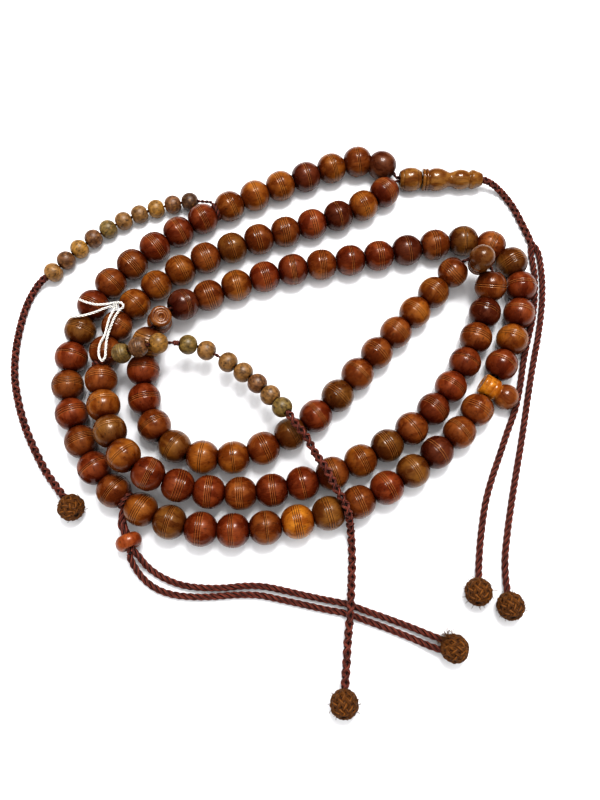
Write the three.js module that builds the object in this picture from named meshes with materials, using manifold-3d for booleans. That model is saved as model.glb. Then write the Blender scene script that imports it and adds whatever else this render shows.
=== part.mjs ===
// A string of one hundred turned wooden prayer beads, laid out in a loose spiral.
// Three drilled marker beads divide it into sets of 33, 17, 17 and 33, and both ends of its cord
// enter a turned finial that carries a braided tassel. Two short strands of small counter beads
// and a doubled cord with a sliding disc are hitched between the beads.
// Millimetres, +Z up. The string lies on the plane z = 0.
import * as THREE from 'three';
import { mergeVertices } from 'three/addons/utils/BufferGeometryUtils.js';
import Module from 'manifold-3d';

// ---- Driving dimensions ------------------------------------------------------------------------

const BEAD_D = 12; // main bead: diameter, length along its hole, hole, flat round the hole
const BEAD_L = 10.6;
const BEAD_BORE_D = 2.6;
const BEAD_FLAT_D = 4.4;
const BEAD_BAND = 3.6; // the nearly cylindrical middle of the bead

const COUNTER_D = 7.5; // counter bead
const COUNTER_L = 6.3;
const COUNTER_BORE_D = 2.0;
const COUNTER_FLAT_D = 3.2;
const COUNTER_BAND = 2.4;
const COUNTER_SPACE = 0.65; // left between two counter beads that lie together

const DRUM_D = 8.0; // marker bead: the drum that the cord passes through, and its ball head
const DRUM_L = 6.4;
const DRUM_EDGE = 1.1; // the rounding at each end of the drum
const HEAD_D = 9.4;
const HEAD_REACH = 7.0; // from the drum's middle to the head's

const FINIAL_BEAD_D = 9.5;
const FINIAL_BEAD_L = 8.8;
const FINIAL_L = 24.4; // the long turned piece, from its collar to its tip
const FINIAL_BORE_D = 4.2;
const COLLAR_D = 8.8;
const LOBE_D = 9.0;
const NECK_D = 5.6;
const SMALL_LOBE_D = 7.9;
const CAP_D = 7.6;
const TIP_D = 5.2;

const DISC_D = 9.1; // sliding disc on the doubled cord
const DISC_L = 4.8;
const DISC_RIM = 1.2; // the straight part of its edge

const KNOT_D = 9.6; // knotted cord balls
const MAIN_CORD_D = 1.5;
const COUNTER_CORD_D = 1.2;
const TAIL_D = 3.0;
const TASSEL_D = 3.0;
const LEG_D = 2.5;
const SLIDER_CORD_D = 3.4;
const SLIDER_LEG_D = 2.4;
const THREAD_D = 1.0;

const TOUCH = 0.3; // left between two pieces that touch
const BORE_PLAY = 0.35; // between a cord and the hole that it was pushed through

// The routes below are drawn for beads of these sizes, and spread out for larger ones.
const DRAWN = { bead: 12, beadLength: 10.6, counter: 7.5, counterLength: 6.3 };
const LAY = Math.max(
  1,
  BEAD_D / DRAWN.bead,
  BEAD_L / DRAWN.beadLength,
  COUNTER_D / DRAWN.counter,
  COUNTER_L / DRAWN.counterLength,
);

// ---- Routes ------------------------------------------------------------------------------------
// Each point is [x, y, lift]: lift is the height of the piece's underside above the table.

const ORIGIN = [-0.41, 26.36]; // the part's origin in the routes' plane: the middle of the beads' box
const FINIAL_AT = [44.6, 94]; // the mouth of the finial, which points along +X
const MOUTH_LEAD = 2.9; // bare cord between the mouth and the first bead
const CORD_PAIR = 0.9; // the two cord ends lie this far to each side of the finial's axis

const SET_1 = [
  [39.1, 100.9, 0.9], [27.5, 102, 0.1], [16.6, 98.5, 0], [-3.7, 90.2, 0], [-23.3, 81.2, 0],
  [-43.3, 69.5, 0], [-60.3, 55.4, 0], [-74.5, 38.7, 0], [-81, 16.5, 0], [-81.6, 4.2, 0],
  [-78.6, -7, 0], [-68.2, -27.4, 0], [-59.4, -36, 0], [-38.6, -46.3, 0], [-17, -48.2, 0],
  [4.7, -44.8, 0], [24.8, -38.3, 0], [43.6, -27.6, 0], [61.5, -13, 0], [69.2, -5, 0.15],
];
const SET_2 = [
  [79.1, 12, 0.1], [83.4, 22.3, 0], [87, 33.2, 0], [89.6, 44, 0], [87, 56, 0], [77.5, 64.3, 0],
  [66, 64.9, 0], [44.4, 60.3, 0], [22.5, 56, 0], [0.4, 52.2, 0], [-20.5, 45.4, 0],
  [-30.6, 41.5, 0.2], [-40, 36.7, 0.7],
];
const SET_3 = [
  [-53.2, 20.6, 0.7], [-54, 10.2, 0.2], [-53.1, -0.7, 0], [-48.8, -11.4, 0], [-40.2, -19.4, 0],
  [-29.3, -23, 0], [-17.9, -22.5, 0], [-7.8, -18.7, 0], [11, -6.2, 0], [25.5, 9.5, 0],
  [40.1, 25.9, 0], [54.6, 41.6, 0.2], [62.2, 49.8, 1],
];
const SET_4 = [
  [77.2, 42.6, 1], [73.8, 33.4, 0.2], [70, 23.2, 0], [65, 13, 0], [52.3, -4.9, 0],
  [35.2, -18.1, 0], [16.5, -27.9, 0], [-4.8, -34.2, 0], [-15.5, -35.3, 0.1], [-26.2, -35.3, 0.3],
  [-37.4, -33.4, 2], [-48, -29.8, 6.3], [-57.2, -24.6, 7.6], [-62.4, -15, 6.6], [-66.4, -4.2, 3.6],
  [-69.2, 6.8, 1.6], [-68.6, 18, 0.6], [-64.7, 29.6, 0.1], [-50.9, 46, 0], [-31.3, 58.1, 0],
  [-11.1, 65.9, 0], [9.9, 72.8, 0], [30, 80.8, 0.1], [39.8, 88, 0.8],
];

// Each marker's drum: its place, the way the cord runs through it, the way its head points, and
// the bare cord on each side of it.
const MARKERS = [
  { at: [73.4, 4, 1.9], along: [0.5, 0.87, 0], head: [0.96, -0.24, -0.15], bare: 0.3 },
  { at: [-47.6, 29.2, 7.6], along: [-0.64, -0.77, 0], head: [-0.2, 0.25, -0.95], bare: 1.3 },
  { at: [71.9, 51.5, 8.4], along: [0.93, -0.37, 0], head: [-0.17, -0.18, 0.97], bare: 2.2 },
];

// The counter strands, each from its hitch between two main beads to its knot ball. The small
// beads come first on the way, then the thick tail.
const COUNTER_A = [
  [-30.6, 82.6, 4.6], [-34.6, 83.9, 3.6], [-40.9, 84.2, 3.2], [-54, 80.8, 3.2],
  [-66.8, 75.2, 3.2], [-78, 67.2, 3.2], [-87.6, 57.9, 3.2], [-92.4, 51.6, 3.3],
  [-96.8, 48.6, 1.7], [-100, 44.6, 0.2], [-102.2, 38, 0.05], [-103.6, 28, 0], [-103.9, 19, 0],
  [-102.9, 9, 0], [-100.2, -1, 0], [-96.4, -10.6, 0], [-92, -19, 0], [-87, -27, 0],
  [-81.6, -33.6, 0.6],
];
const KNOT_A = [-75.8, -40];
const COUNTER_B = [
  [-65.4, 12.6, 12], [-60, 14, 13.7], [-53.6, 15.3, 16.75], [-47, 17, 16], [-35.8, 18.6, 10.4],
  [-28.8, 16.2, 9.4], [-20.8, 11.4, 9], [-14.8, 7, 9.2], [-9.4, 2, 10.2], [-4.4, -3.4, 11.8],
  [-0.2, -8.8, 14.1], [2.4, -12.4, 13.4], [6.4, -17, 11.6], [8.6, -21, 9.8], [10.8, -25, 11.6],
  [13.8, -30, 13.1], [16.2, -34.6, 11.2], [18.6, -38.4, 10.3], [20.2, -42, 10],
  [21.4, -46.4, 3.6], [21.9, -50.6, 0.3], [22, -57, 0], [21.7, -63, 0.4], [21.2, -69, 2.5],
  [20.9, -73.6, 3.2], [20.5, -78, 2.3], [19.9, -84.6, 0.1], [19.4, -91, 0], [18.8, -97, 0.6],
];
const KNOT_B = [18.2, -103.2];
const TAIL_B_PIVOT = 21; // the point of the route above, counted from 0, that its tail swings about

const COUNTER_SLACK_A = {};
const COUNTER_SLACK_B = { 1: 0.1, 2: 0.6, 3: 4.1, 4: 0.3, 5: 2.2 }; // bare cord after these beads
const COUNTER_LEAD_A = 7.2; // bare cord before the first bead
const COUNTER_LEAD_B = 2.6;
const COUNTERS = 10;

const HITCH_SPACE = 0.7; // between the two beads that a side cord is hitched between

const TASSEL = [
  [82, 92.6, 2.6], [85.6, 90.6, 0.8], [88.4, 87.4, 0], [90.6, 83.4, 0], [92.4, 79, 0],
  [94, 74.4, 0], [95.6, 69.6, 0], [97, 64.6, 0],
];
const LEG_RIGHT = [
  [98.9, 62.6, 0], [99.4, 53, 0], [98.6, 43, 0], [97, 34, 0], [94.9, 25, 0], [92.4, 16, 0],
  [89.6, 5, 0], [87, -6, 0], [84.4, -16.6, 0], [81.6, -27.4, 0], [79.2, -37, 0], [76.8, -47.4, 0],
  [75, -57, 0], [74.5, -63.4, 0.3], [74.4, -68, 1.4],
];
const KNOT_RIGHT = [74.4, -73];
const LEG_LEFT = [
  [96.1, 62.2, 0], [96.5, 53, 0], [95.6, 43, 0], [93.9, 34, 0], [91.2, 25, 0], [88.6, 16, 0],
  [86.4, 6.4, 0], [83.8, -2.6, 0], [79.8, -12, 0], [76.2, -20.8, 0], [72.8, -29, 0],
  [69.9, -37.4, 0], [67.9, -46, 0], [66.6, -53, 0], [65.7, -59, 0.3], [65, -63.6, 1.4],
];
const KNOT_LEFT = [64, -68.4];

const SLIDER = [[-57.7, -45.5, 2.6], [-56.6, -47.8, 2.85], [-54.9, -51.8, 2.85], [-53.7, -55.4, 2.85]];
const SLIDER_UPPER = [
  [-51.6, -56.2, 2.9], [-49.2, -59.2, 1], [-46, -61.8, 0], [-42.2, -63.9, 0], [-36.2, -66, 0],
  [-29, -66.9, 0], [-22, -66.9, 0], [-15, -66.3, 0], [-8.3, -66.5, 0], [-1.5, -67.8, 0],
  [5.7, -69.4, 0], [12.5, -70.8, 0], [20, -72.3, 0], [27, -74.7, 0], [34, -77.1, 0],
  [42, -80, 0.2], [49, -82.8, 1.4],
];
const SLIDER_LOWER = [
  [-53.9, -57.6, 2.9], [-51.8, -61.4, 1], [-48.6, -64.9, 0], [-44, -67.7, 0], [-38.5, -69.3, 0],
  [-32, -69.9, 0], [-25, -69.8, 0], [-18, -69.3, 0], [-10, -69.4, 0], [-2.5, -70.8, 0],
  [5, -72.4, 0], [12, -73.9, 0], [19.5, -75.3, 0], [26.5, -77.7, 0], [33.5, -80.2, 0],
  [41, -83.1, 0.2], [48, -86, 1.4],
];
const KNOT_SLIDER = [54.8, -86.4];
const PAIR_AT_KNOT = 1.7; // the two cords enter this ball this far to each side of its middle

// The white tie: one thread, doubled round the beads and knotted, with both of its ends free.
const THREAD = [
  [-78.3, 36.4, 11.9], [-75.3, 34.9, 12.4], [-71.8, 34.2, 11.9], [-67.6, 34.4, 11.9], [-64.7, 34.9, 12],
  [-62.3, 34.8, 12], [-61.5, 33.4, 12], [-62.8, 31.6, 12.2], [-64.2, 28.6, 12.6], [-65.3, 25.3, 12.4],
  [-66.1, 21.7, 12.5], [-66.3, 18.3, 12.9], [-66.3, 15.6, 12.8], [-66.2, 13, 13], [-67, 11.4, 13.2],
  [-68.3, 12.9, 12.8], [-68.8, 15.7, 12.7], [-68.4, 18.3, 12.9], [-67.2, 21.7, 12.5], [-66.7, 25.3, 12.3],
  [-66, 28.4, 12.6], [-65, 31.1, 12.4], [-64.5, 32.8, 11.9], [-66, 33.6, 11.5], [-68.5, 33.1, 11.1],
  [-71.4, 31.8, 11], [-74.5, 30.5, 11.3], [-77.2, 29.6, 11.8], [-80.7, 29, 12.3],
];

// ---- Materials ---------------------------------------------------------------------------------

function material(color, roughness) {
  return new THREE.MeshStandardMaterial({ color, roughness, metalness: 0 });
}

const beadWood = material(0x7a3d18, 0.28);
const counterWood = material(0x7d6338, 0.5);
const finialWood = material(0x966432, 0.3);
const cordFibre = material(0x54241c, 0.8);
const knotFibre = material(0x6e4118, 0.9);
const threadFibre = material(0xe8e4dc, 0.8);

const object = new THREE.Group();
const lay = new THREE.Group();
lay.position.set(-ORIGIN[0], -ORIGIN[1], 0);
object.add(lay);

function add(name, geometry, surface) {
  const mesh = new THREE.Mesh(geometry, surface);
  mesh.name = name;
  lay.add(mesh);
  return mesh;
}

// ---- Curves ------------------------------------------------------------------------------------

const CURVE_SAMPLES = 40; // arc length samples between two points of a route

function onRoute([x, y, lift], radius) {
  return new THREE.Vector3(x * LAY, y * LAY, lift * LAY + radius);
}

function route(points, radius) {
  return smooth(points.map((point) => onRoute(point, radius)));
}

function smooth(vectors) {
  const curve = new THREE.CatmullRomCurve3(vectors);
  curve.arcLengthDivisions = CURVE_SAMPLES * (vectors.length - 1);
  return curve;
}

function lengthAtPoint(curve, index) {
  return curve.getLengths()[index * CURVE_SAMPLES];
}

// The length on another curve through the same points that lies at the same spot.
function sameSpot(curve, length, other) {
  const t = curve.getUtoTmapping(length / curve.getLength());
  const lengths = other.getLengths();
  const index = Math.floor(t * (lengths.length - 1));
  return lengths[index];
}

function at(curve, length) {
  return curve.getPointAt(THREE.MathUtils.clamp(length / curve.getLength(), 0, 1));
}

// A path that an extrusion follows from station to station, straight between two of them.
class StationPath extends THREE.Curve {
  constructor(stations) {
    super();
    this.stations = stations;
  }

  getPointAt(u) {
    const last = this.stations.length - 1;
    const index = Math.min(Math.floor(u * last + 1e-6), last - 1);
    return this.stations[index].clone().lerp(this.stations[index + 1], u * last - index);
  }

  getTangentAt(u) {
    const last = this.stations.length - 1;
    const index = Math.round(u * last);
    const before = this.stations[Math.max(index - 1, 0)];
    const after = this.stations[Math.min(index + 1, last)];
    return after.clone().sub(before).normalize();
  }
}

function tube(stations, diameter, sides = 8) {
  const outline = new THREE.Shape();
  for (let i = 0; i < sides; i += 1) {
    const angle = (2 * Math.PI * (i + 0.5)) / sides;
    const point = [(diameter / 2) * Math.cos(angle), (diameter / 2) * Math.sin(angle)];
    if (i === 0) outline.moveTo(...point);
    else outline.lineTo(...point);
  }
  return new THREE.ExtrudeGeometry(outline, {
    extrudePath: new StationPath(stations),
    steps: stations.length - 1,
    bevelEnabled: false,
  });
}

// Evenly spaced stations from one length along a curve to another.
function stretch(curve, from, to, spacing) {
  const count = Math.max(2, Math.round((to - from) / spacing));
  return Array.from({ length: count + 1 }, (_, i) => at(curve, from + ((to - from) * i) / count));
}

// How far along the curve a cord can go before it touches a ball at the curve's far end.
function lengthBeforeBall(curve, centre) {
  const reach = KNOT_D / 2 + TOUCH;
  let length = curve.getLength();
  while (at(curve, length).distanceTo(centre) < reach) length -= 0.05;
  return length;
}

// ---- Beads -------------------------------------------------------------------------------------

const BEAD_SIDES = 8;
const FLAT_TO_CORNER = 1 / Math.cos(Math.PI / BEAD_SIDES);

// A frame on the string: its place, the direction of the hole, and the upward direction.
function frameBetween(from, to) {
  const axis = to.clone().sub(from).normalize();
  return makeFrame(from.clone().add(to).multiplyScalar(0.5), axis);
}

function makeFrame(centre, axis) {
  const up = new THREE.Vector3(0, 0, 1);
  up.addScaledVector(axis, -up.dot(axis)).normalize();
  const side = axis.clone().cross(up);
  return { centre, axis, up, side };
}

function joint(left, right, place) {
  return makeFrame(place, left.axis.clone().add(right.axis).normalize());
}

function pointIn(frame, across, along, upward) {
  return frame.centre.clone()
    .addScaledVector(frame.side, across)
    .addScaledVector(frame.axis, along)
    .addScaledVector(frame.up, upward);
}

// Beads that lie against each other, as one body. It is turned straight, then bent along the
// string so that every bead keeps its shape and only the necks between them turn.
function beadRun(cells, spans) {
  const pitch = BEAD_L + TOUCH;
  const neck = (BEAD_FLAT_D / 2) * FLAT_TO_CORNER;
  const bore = (BEAD_BORE_D / 2) * FLAT_TO_CORNER;
  const belly = (BEAD_D / 2) * FLAT_TO_CORNER;
  const start = TOUCH / 2;
  const end = cells.length * pitch - TOUCH / 2;
  const profile = [new THREE.Vector2(bore, start), new THREE.Vector2(neck, start)];
  cells.forEach((_, i) => {
    const middle = (i + 0.5) * pitch;
    profile.push(new THREE.Vector2(belly, middle - BEAD_BAND / 2));
    profile.push(new THREE.Vector2(belly, middle + BEAD_BAND / 2));
    if (i < cells.length - 1) profile.push(new THREE.Vector2(neck, (i + 1) * pitch));
  });
  profile.push(new THREE.Vector2(neck, end), new THREE.Vector2(bore, end));
  for (let i = cells.length - 1; i > 0; i -= 1) profile.push(new THREE.Vector2(bore, i * pitch));
  profile.push(profile[0].clone());

  const geometry = new THREE.LatheGeometry(profile, BEAD_SIDES, Math.PI / BEAD_SIDES);
  const position = geometry.attributes.position;
  const necks = cells.slice(1).map((cell, i) => joint(cells[i], cell, spans[i][1]));
  for (let i = 0; i < position.count; i += 1) {
    const along = position.getY(i);
    const neckIndex = Math.round(along / pitch) - 1;
    const onNeck = Math.abs(along - (neckIndex + 1) * pitch) < 1e-3 && necks[neckIndex];
    const index = Math.min(Math.max(Math.floor(along / pitch), 0), cells.length - 1);
    const frame = onNeck || cells[index];
    const offset = onNeck ? 0 : along - (index + 0.5) * pitch;
    const bent = pointIn(frame, position.getX(i), offset, position.getZ(i));
    position.setXYZ(i, bent.x, bent.y, bent.z);
  }
  return geometry;
}

function ringBead(diameter, length, bore, flat, band, sides) {
  const outline = [
    [bore, -length], [flat, -length], [diameter, -band], [diameter, band],
    [flat, length], [bore, length], [bore, -length],
  ].map(([across, along]) => new THREE.Vector2(across / 2, along / 2));
  return new THREE.LatheGeometry(outline, sides, Math.PI / sides);
}

// Turns a piece that was made along Y so that its axis and its top follow a frame.
function seat(mesh, frame) {
  const basis = new THREE.Matrix4().makeBasis(frame.side, frame.axis, frame.up);
  mesh.quaternion.setFromRotationMatrix(basis);
  mesh.position.copy(frame.centre);
}

// ---- The main string ---------------------------------------------------------------------------

const R = BEAD_D / 2;
const finialRadius = FINIAL_BEAD_D / 2;
const mouth = new THREE.Vector3(FINIAL_AT[0] * LAY, FINIAL_AT[1] * LAY, finialRadius);

function inFinial(side, depth) {
  return mouth.clone().add(new THREE.Vector3(depth, side * CORD_PAIR, 0));
}

// The points at which the cord comes out of a marker's drum.
function drumEnds(marker) {
  const middle = onRoute(marker.at, DRUM_D / 2);
  const half = new THREE.Vector3(...marker.along).setLength(DRUM_D / 2 + TOUCH);
  return [middle.clone().sub(half), middle.clone().add(half)];
}

const cordInside = FINIAL_BEAD_L + FINIAL_L * 0.75; // how deep the cord ends reach into the finial
const ENTRY = 1.2; // the cord is straight from this far outside the mouth
const stringPoints = [
  inFinial(1, cordInside),
  inFinial(1, 0),
  inFinial(1, -ENTRY),
  ...SET_1.map((point) => onRoute(point, R)),
  ...drumEnds(MARKERS[0]),
  ...SET_2.map((point) => onRoute(point, R)),
  ...drumEnds(MARKERS[1]),
  ...SET_3.map((point) => onRoute(point, R)),
  ...drumEnds(MARKERS[2]),
  ...SET_4.map((point) => onRoute(point, R)),
  inFinial(-1, -ENTRY),
  inFinial(-1, 0),
  inFinial(-1, cordInside),
];
const string = smooth(stringPoints);
const mouthOut = lengthAtPoint(string, 2);
const mouthIn = lengthAtPoint(string, stringPoints.length - 3);
const drumPoints = [3 + SET_1.length];
drumPoints.push(drumPoints[0] + 2 + SET_2.length);
drumPoints.push(drumPoints[1] + 2 + SET_3.length);
const drumFrom = drumPoints.map((index) => lengthAtPoint(string, index));
const drumTo = drumPoints.map((index) => lengthAtPoint(string, index + 1));

// Where each bead of one set begins and ends, spread evenly from one length to another. A hitch is
// the number of the bead after which a side cord is tied to the main cord.
function beadSpans(from, to, count, hitches) {
  const pitch = (to - from - hitches.length * HITCH_SPACE) / count;
  return Array.from({ length: count }, (_, i) => {
    const start = from + i * pitch + hitches.filter((bead) => bead <= i).length * HITCH_SPACE;
    return [at(string, start), at(string, start + pitch)];
  });
}

const SETS = [
  { name: 'set_1', beads: 33, runs: [7, 7, 6, 7, 6], hitches: [7, 20] },
  { name: 'set_2', beads: 17, runs: [7, 5, 5], hitches: [] },
  { name: 'set_3', beads: 17, runs: [8, 5, 4], hitches: [] },
  { name: 'set_4', beads: 33, runs: [7, 5, 8, 7, 6], hitches: [20] },
];
const setStarts = [mouthOut + MOUTH_LEAD, ...drumTo.map((length, k) => length + MARKERS[k].bare)];
const setEnds = [...drumFrom.map((length, k) => length - MARKERS[k].bare), mouthIn - MOUTH_LEAD];

// The cord leaves a bead straight for a third of the bare length beside it.
function straightOut(cell, way, bare) {
  return pointIn(cell, 0, way * ((BEAD_L + TOUCH) / 2 + bare / 3), 0);
}

const cordStations = [at(string, 0), at(string, lengthAtPoint(string, 1)), at(string, mouthOut)];
const setSpans = SETS.map((set, k) => beadSpans(setStarts[k], setEnds[k], set.beads, set.hitches));
SETS.forEach((set, k) => {
  const spans = setSpans[k];
  const cells = spans.map(([from, to]) => frameBetween(from, to));
  spans.forEach(([from, to], i) => {
    if (i === 0 && k > 0) cordStations.push(straightOut(cells[0], -1, MARKERS[k - 1].bare));
    if (i === 0 || set.hitches.includes(i)) cordStations.push(from);
    cordStations.push(to);
  });
  if (k < MARKERS.length) {
    cordStations.push(straightOut(cells[cells.length - 1], 1, MARKERS[k].bare));
    cordStations.push(...drumEnds(MARKERS[k]));
  }
  let first = 0;
  set.runs.forEach((count, j) => {
    const last = first + count;
    const geometry = beadRun(cells.slice(first, last), spans.slice(first, last));
    add(`beads_${set.name}_run_${j + 1}`, geometry, beadWood);
    first = last;
  });
});
cordStations.push(at(string, mouthIn));
cordStations.push(at(string, lengthAtPoint(string, stringPoints.length - 2)));
cordStations.push(at(string, string.getLength()));
add('main_cord', tube(cordStations, MAIN_CORD_D, 6), cordFibre);

// ---- Marker beads ------------------------------------------------------------------------------

const wasm = await Module();
wasm.setup();

function solidOf(geometry) {
  const bare = geometry.clone();
  for (const name of Object.keys(bare.attributes)) {
    if (name !== 'position') bare.deleteAttribute(name);
  }
  const merged = mergeVertices(bare, 1e-4);
  return new wasm.Manifold(new wasm.Mesh({
    numProp: 3,
    vertProperties: new Float32Array(merged.attributes.position.array),
    triVerts: new Uint32Array(merged.index.array),
  }));
}

function geometryOf(solid) {
  const mesh = solid.getMesh();
  const geometry = new THREE.BufferGeometry();
  geometry.setAttribute('position', new THREE.BufferAttribute(mesh.vertProperties, 3));
  geometry.setIndex(new THREE.BufferAttribute(mesh.triVerts, 1));
  return geometry;
}

// A drum and its ball head on one axis, with the cord's hole across the drum. The hole lies
// along X and the head points along Y.
function markerGeometry() {
  const headR = HEAD_D / 2;
  const drumR = DRUM_D / 2;
  const meet = HEAD_REACH - headR * 0.72; // where the drum's inner end meets the ball
  const outline = [
    new THREE.Vector2(0, -DRUM_L / 2),
    new THREE.Vector2(drumR * 0.86, -DRUM_L / 2),
    new THREE.Vector2(drumR, -DRUM_L / 2 + DRUM_EDGE),
    new THREE.Vector2(drumR, meet - DRUM_EDGE),
    new THREE.Vector2(drumR * 0.82, meet),
  ];
  for (const degrees of [115, 90, 60, 30]) {
    const angle = THREE.MathUtils.degToRad(degrees);
    const across = headR * Math.sin(angle);
    outline.push(new THREE.Vector2(across, HEAD_REACH + headR * Math.cos(angle)));
  }
  outline.push(new THREE.Vector2(0, HEAD_REACH + headR));
  const body = solidOf(new THREE.LatheGeometry(outline, 10, 0));
  const boreD = MAIN_CORD_D + 2 * BORE_PLAY;
  const hole = new THREE.CylinderGeometry(boreD / 2, boreD / 2, DRUM_D * 2, 8);
  hole.rotateZ(Math.PI / 2);
  return geometryOf(body.subtract(solidOf(hole)));
}

MARKERS.forEach((marker, k) => {
  const across = frameBetween(...drumEnds(marker));
  const head = new THREE.Vector3(...marker.head);
  head.addScaledVector(across.axis, -head.dot(across.axis)).normalize();
  const third = across.axis.clone().cross(head);
  const mesh = add(`marker_bead_${k + 1}`, markerGeometry(), beadWood);
  const basis = new THREE.Matrix4().makeBasis(across.axis, head, third);
  mesh.quaternion.setFromRotationMatrix(basis);
  mesh.position.copy(across.centre);
});

// ---- Finial ------------------------------------------------------------------------------------

const FINIAL_SIDES = 12;

function turned(outline, bore) {
  const first = outline[0];
  const last = outline[outline.length - 1];
  const closed = [[bore, first[1]], ...outline, [bore, last[1]], [bore, first[1]]];
  const points = closed.map(([diameter, along]) => new THREE.Vector2(diameter / 2, along));
  const geometry = new THREE.LatheGeometry(points, FINIAL_SIDES, Math.PI / FINIAL_SIDES);
  geometry.rotateZ(-Math.PI / 2);
  return geometry;
}

function bulge(diameter, from, to, angles) {
  const middle = (from + to) / 2;
  return angles.map((degrees) => {
    const angle = THREE.MathUtils.degToRad(degrees);
    return [diameter * Math.sin(angle), middle - ((to - from) / 2) * Math.cos(angle)];
  });
}

const finialBead = add(
  'finial_bead',
  turned(bulge(FINIAL_BEAD_D, 0, FINIAL_BEAD_L, [36, 62, 90, 118, 144]), FINIAL_BORE_D),
  finialWood,
);
finialBead.position.copy(mouth);

// Along the long turned piece: a collar, a lobe, a waist, a smaller lobe and a tapering cap.
const COLLAR_L = 2.6;
const LOBE_L = 7.5;
const WAIST_L = 2.3;
const SMALL_LOBE_L = 6.8;
const lobeEnd = COLLAR_L + LOBE_L;
const smallLobeFrom = lobeEnd + WAIST_L;
const smallLobeEnd = smallLobeFrom + SMALL_LOBE_L;
const finialBody = add(
  'finial_body',
  turned([
    [COLLAR_D * 0.92, 0],
    [COLLAR_D, 0.5],
    [COLLAR_D, COLLAR_L - 0.6],
    ...bulge(LOBE_D, COLLAR_L, lobeEnd, [55, 90, 125]),
    [NECK_D, lobeEnd + WAIST_L / 2],
    ...bulge(SMALL_LOBE_D, smallLobeFrom, smallLobeEnd, [55, 90, 125]),
    [CAP_D * 0.9, smallLobeEnd + 0.4],
    [CAP_D, smallLobeEnd + 1.5],
    [TIP_D, FINIAL_L],
  ], FINIAL_BORE_D),
  finialWood,
);
finialBody.position.copy(mouth).x += FINIAL_BEAD_L + TOUCH;

// ---- Knot balls, counter strands, tassel and slider ----------------------------------------------

function knotAt([x, y]) {
  return new THREE.Vector3(x * LAY, y * LAY, KNOT_D / 2);
}

function knot(name, place) {
  const geometry = new THREE.SphereGeometry(KNOT_D / 2, 10, 7);
  geometry.rotateX(Math.PI / 2);
  add(name, geometry, knotFibre).position.copy(place);
}

// Small beads from one length along a cord on. Returns the length at which each begins and ends.
function counterSpans(lead, slack) {
  const spans = [];
  let length = lead;
  for (let i = 1; i <= COUNTERS; i += 1) {
    spans.push([length, length + COUNTER_L]);
    length += COUNTER_L + COUNTER_SPACE + (slack[i] || 0) * LAY;
  }
  return spans;
}

function counterStrand(letter, points, knotPlace, lead, slack, tails) {
  const centre = knotAt(knotPlace);
  const curve = smooth([...points.map((point) => onRoute(point, COUNTER_CORD_D / 2)), centre]);
  const spans = counterSpans(lead * LAY, slack);
  const stations = [at(curve, 0), at(curve, (lead * LAY) / 2)];
  spans.forEach(([from, to], i) => {
    const frame = frameBetween(at(curve, from), at(curve, to));
    const geometry = ringBead(
      COUNTER_D, COUNTER_L, COUNTER_BORE_D, COUNTER_FLAT_D, COUNTER_BAND, BEAD_SIDES,
    );
    const number = String(i + 1).padStart(2, '0');
    seat(add(`counter_${letter}_${number}`, geometry, counterWood), frame);
    stations.push(at(curve, from), at(curve, to));
  });
  const lastBead = spans[COUNTERS - 1][1];
  stations.push(at(curve, lastBead + TOUCH));
  add(`counter_${letter}_cord`, tube(stations, COUNTER_CORD_D), cordFibre);

  // The tail is thicker, so it has a curve of its own through the same points.
  const tail = smooth([...points.map((point) => onRoute(point, TAIL_D / 2)), centre]);
  const tailStart = sameSpot(curve, lastBead + 3 * TOUCH, tail);
  const tailEnd = lengthBeforeBall(tail, centre);
  const spacing = TAIL_D * 2;
  if (tails.length === 1) {
    add(tails[0], tube(stretch(tail, tailStart, tailEnd, spacing), TAIL_D), cordFibre);
  } else {
    const split = lengthAtPoint(tail, TAIL_B_PIVOT);
    add(tails[0], tube(stretch(tail, tailStart, split, spacing), TAIL_D), cordFibre);
    add(tails[1], tube(stretch(tail, split + TOUCH, tailEnd, spacing), TAIL_D), cordFibre);
  }
  knot(`counter_${letter}_knot`, centre);
}

counterStrand('a', COUNTER_A, KNOT_A, COUNTER_LEAD_A, COUNTER_SLACK_A, ['counter_a_tail']);
counterStrand('b', COUNTER_B, KNOT_B, COUNTER_LEAD_B, COUNTER_SLACK_B, [
  'counter_b_tail_top', 'counter_b_tail',
]);

const tip = mouth.clone();
tip.x += FINIAL_BEAD_L + TOUCH + FINIAL_L;
const braidStart = mouth.clone();
braidStart.x += cordInside + TOUCH;
const braid = smooth([braidStart, tip, ...TASSEL.map((point) => onRoute(point, TASSEL_D / 2))]);
add('tassel_braid', tube(stretch(braid, 0, braid.getLength(), TASSEL_D * 1.6), TASSEL_D), cordFibre);

function legToKnot(name, points, diameter, knotPlace, side) {
  const centre = knotAt(knotPlace);
  const ends = points.map((point) => onRoute(point, diameter / 2));
  const target = centre.clone();
  const direction = centre.clone().sub(ends[ends.length - 1]).normalize();
  target.addScaledVector(new THREE.Vector3(-direction.y, direction.x, 0), side);
  const curve = smooth([...ends, target]);
  const end = lengthBeforeBall(curve, centre);
  add(name, tube(stretch(curve, 0, end, diameter * 3), diameter), cordFibre);
}

legToKnot('tassel_leg_right', LEG_RIGHT, LEG_D, KNOT_RIGHT, 0);
legToKnot('tassel_leg_left', LEG_LEFT, LEG_D, KNOT_LEFT, 0);
knot('tassel_knot_right', knotAt(KNOT_RIGHT));
knot('tassel_knot_left', knotAt(KNOT_LEFT));

const sliderStations = SLIDER.map((point) => onRoute(point, SLIDER_CORD_D / 2));
add('slider_cord', tube(sliderStations, SLIDER_CORD_D), cordFibre);
legToKnot('slider_leg_upper', SLIDER_UPPER, SLIDER_LEG_D, KNOT_SLIDER, PAIR_AT_KNOT);
legToKnot('slider_leg_lower', SLIDER_LOWER, SLIDER_LEG_D, KNOT_SLIDER, -PAIR_AT_KNOT);
knot('slider_knot', knotAt(KNOT_SLIDER));

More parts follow.
